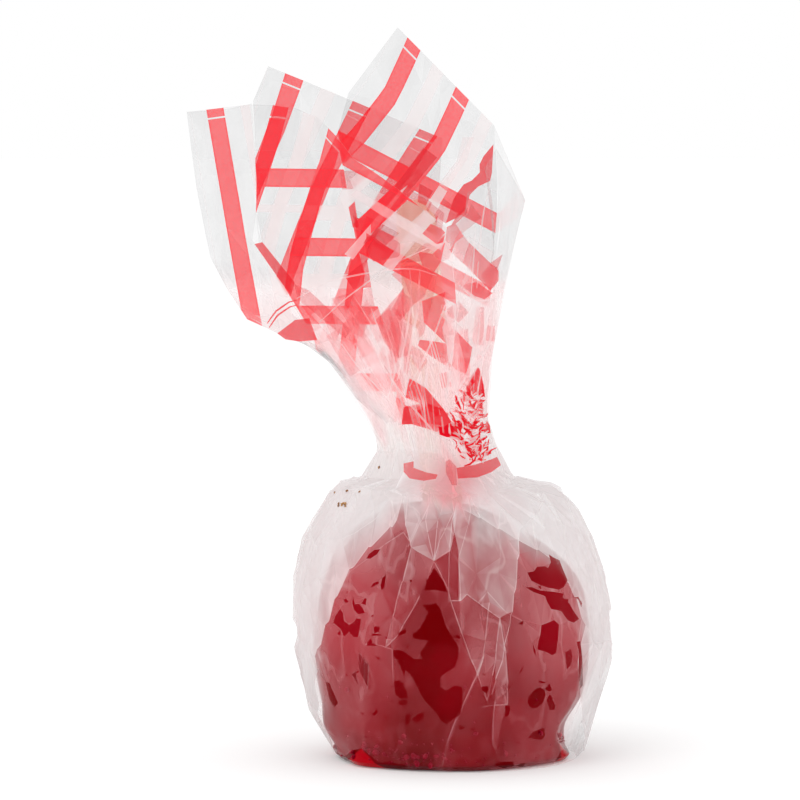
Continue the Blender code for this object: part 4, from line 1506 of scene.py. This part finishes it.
def sugar_drops(apple):
    """Drops and small bubbles of sugar round the foot, thickest at the front left."""
    rng = random.Random(31)
    surface = film_tree([apple])
    at_front, low, whole = 90, 130, 150
    places = []
    for index in range(whole):
        angle = rng.gauss(-112, 20) if index < at_front else rng.uniform(-180, 180)
        height = 1.6 + abs(rng.gauss(0, 3.2)) if index < low else rng.uniform(4, 24)
        turn = math.radians(angle)
        way = Vector((math.cos(turn), math.sin(turn), 0))
        found = surface.ray_cast(way * 60 + Vector((0, 0, height)), -way)[0]
        if found:
            places.append(found + way * 0.3)
    large, fine = places[::4], [place for index, place in enumerate(places) if index % 4]
    return [
        scatter("sugar_drops", large, bubble_finish("sugar_drops", (0.70, 0.0, 0.06, 1)), 0.95, 4, 3),
        scatter("sugar_bubbles", fine, bubble_finish("sugar_bubbles", (0.72, 0.02, 0.12, 1)), 0.36, 8, 2)]


# Where the crumbs lie: across, up and how many.
CRUMBS = (
    (-27.8, 65.6, 6), (-28.8, 65.2, 2), (-29.8, 67.3, 1), (-18.6, 74.0, 1), (-27.0, 68.8, 1),
    (-24.5, 69.4, 1))


def sugar_crumbs(bag):
    """A few toasted crumbs that cling to the film on the left shoulder."""
    rng = random.Random(12)
    surface = film_tree([bag])
    places = []
    for x, z, count in CRUMBS:
        for _ in range(count):
            spot = Vector((x + rng.uniform(-0.7, 0.7), -60, z + rng.uniform(-0.5, 0.5)))
            found = surface.ray_cast(spot, Vector((0, 1, 0)))[0]
            if found:
                places.append(found - Vector((0, 0.2, 0)))
    return scatter("sugar_crumbs", places, crumb_finish(), 0.7, 9, 1)


# ---------------------------------------------------------------- stage


def pale_floor(reach=8000.0):
    finish = Finish("pale_floor")
    glow = {"Emission_Color": (1, 1, 1, 1), "Emission_Strength": 0.15}
    finish.paint((0.9, 0.9, 0.9, 1), 0.9, Specular_IOR_Level=0.0, **glow)
    corners = [(-reach, -reach, 0), (reach, -reach, 0), (reach, reach, 0), (-reach, reach, 0)]
    mesh_piece("floor", corners, [(0, 1, 2, 3)], finish.material)


def soft_studio():
    """White all round. Gloss sees it brighter behind, at both sides and on top."""
    world = bpy.data.worlds.new("studio")
    bpy.context.scene.world = world
    world.use_nodes = True
    studio = Nodes(world.node_tree)
    aside, back, up = studio.parts(studio.node("ShaderNodeTexCoord").outputs["Generated"])
    behind, sides = studio.rise(back, -0.35, 0.35, 0.12, 0.9), studio.rise(abs(aside), 0.62, 0.74, 0.0, 1.1)
    shine = studio.most(studio.most(behind, sides), studio.rise(up, 0.6, 0.8, 0.0, 0.9))
    path = studio.node("ShaderNodeLightPath").outputs
    soft = studio.node("ShaderNodeMix", {0: path["Is Glossy Ray"], 2: 0.96, 3: shine}, data_type="FLOAT")
    seen = studio.node("ShaderNodeMix", {0: path["Is Camera Ray"], 2: soft, 3: 1.0}, data_type="FLOAT")
    background = studio.node("ShaderNodeBackground", {"Color": (1, 1, 1, 1), "Strength": seen})
    studio.node("ShaderNodeOutputWorld", {"Surface": background})


def aim(thing, spot, target):
    """Puts a lamp or a camera on a spot and turns it to the target."""
    thing.location = spot
    thing.rotation_euler = (target - spot).to_track_quat("-Z", "Y").to_euler()


def soft_key():
    key = bpy.data.lights.new("soft_key", "AREA")
    key.shape, key.size, key.energy = "DISK", 1.4, 8.0
    lamp = in_scene("soft_key", key)
    aim(lamp, Vector((-1.1, -1.3, 1.6)), Vector((0, 0, 0.08)))
    lamp.visible_camera = False
    lamp.visible_glossy = False


def build_camera():
    """A long lens at a table's edge, a little above the middle of the whole."""
    middle = (Vector(cad_box[0]) + Vector(cad_box[1])) / 2
    target = middle + Vector((-0.2, 8.37, -1.74)) * MM
    rise, away = math.radians(4.0), 1.2
    camera = bpy.data.cameras.new("camera")
    camera.sensor_width, camera.lens = 36.0, 213.33
    camera.clip_start, camera.clip_end = 0.05, 60.0
    holder = in_scene("camera", camera)
    aim(holder, target + Vector((0, -math.cos(rise), math.sin(rise))) * away, target)
    bpy.context.scene.camera = holder


# ---------------------------------------------------------------- the whole object

scene = bpy.context.scene
scene.cycles.transparent_max_bounces = 48
scene.cycles.max_bounces = 8
scene.view_settings.view_transform = "Standard"

build_camera()
pale_floor()
soft_studio()
soft_key()

apple = coated_apple()
bag = bag_over_apple()
fan = fan_of_film()
folds = [fold_print(fan + [bag]), neck_crumple(fan + [bag])]
grains = sugar_drops(apple) + [sugar_crumbs(bag)]
for slot, pieces in (("candy", [apple] + grains), ("film", [bag] + fan + folds)):
    for piece in pieces:
        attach(piece, "root")
        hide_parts("filled_bag")

for node_name, finish_made in (("lolly_stick", bare_birch()), ("neck_tape", clear_tape())):
    node_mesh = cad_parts[node_name].data
    node_mesh.materials.clear()
    node_mesh.materials.append(finish_made)
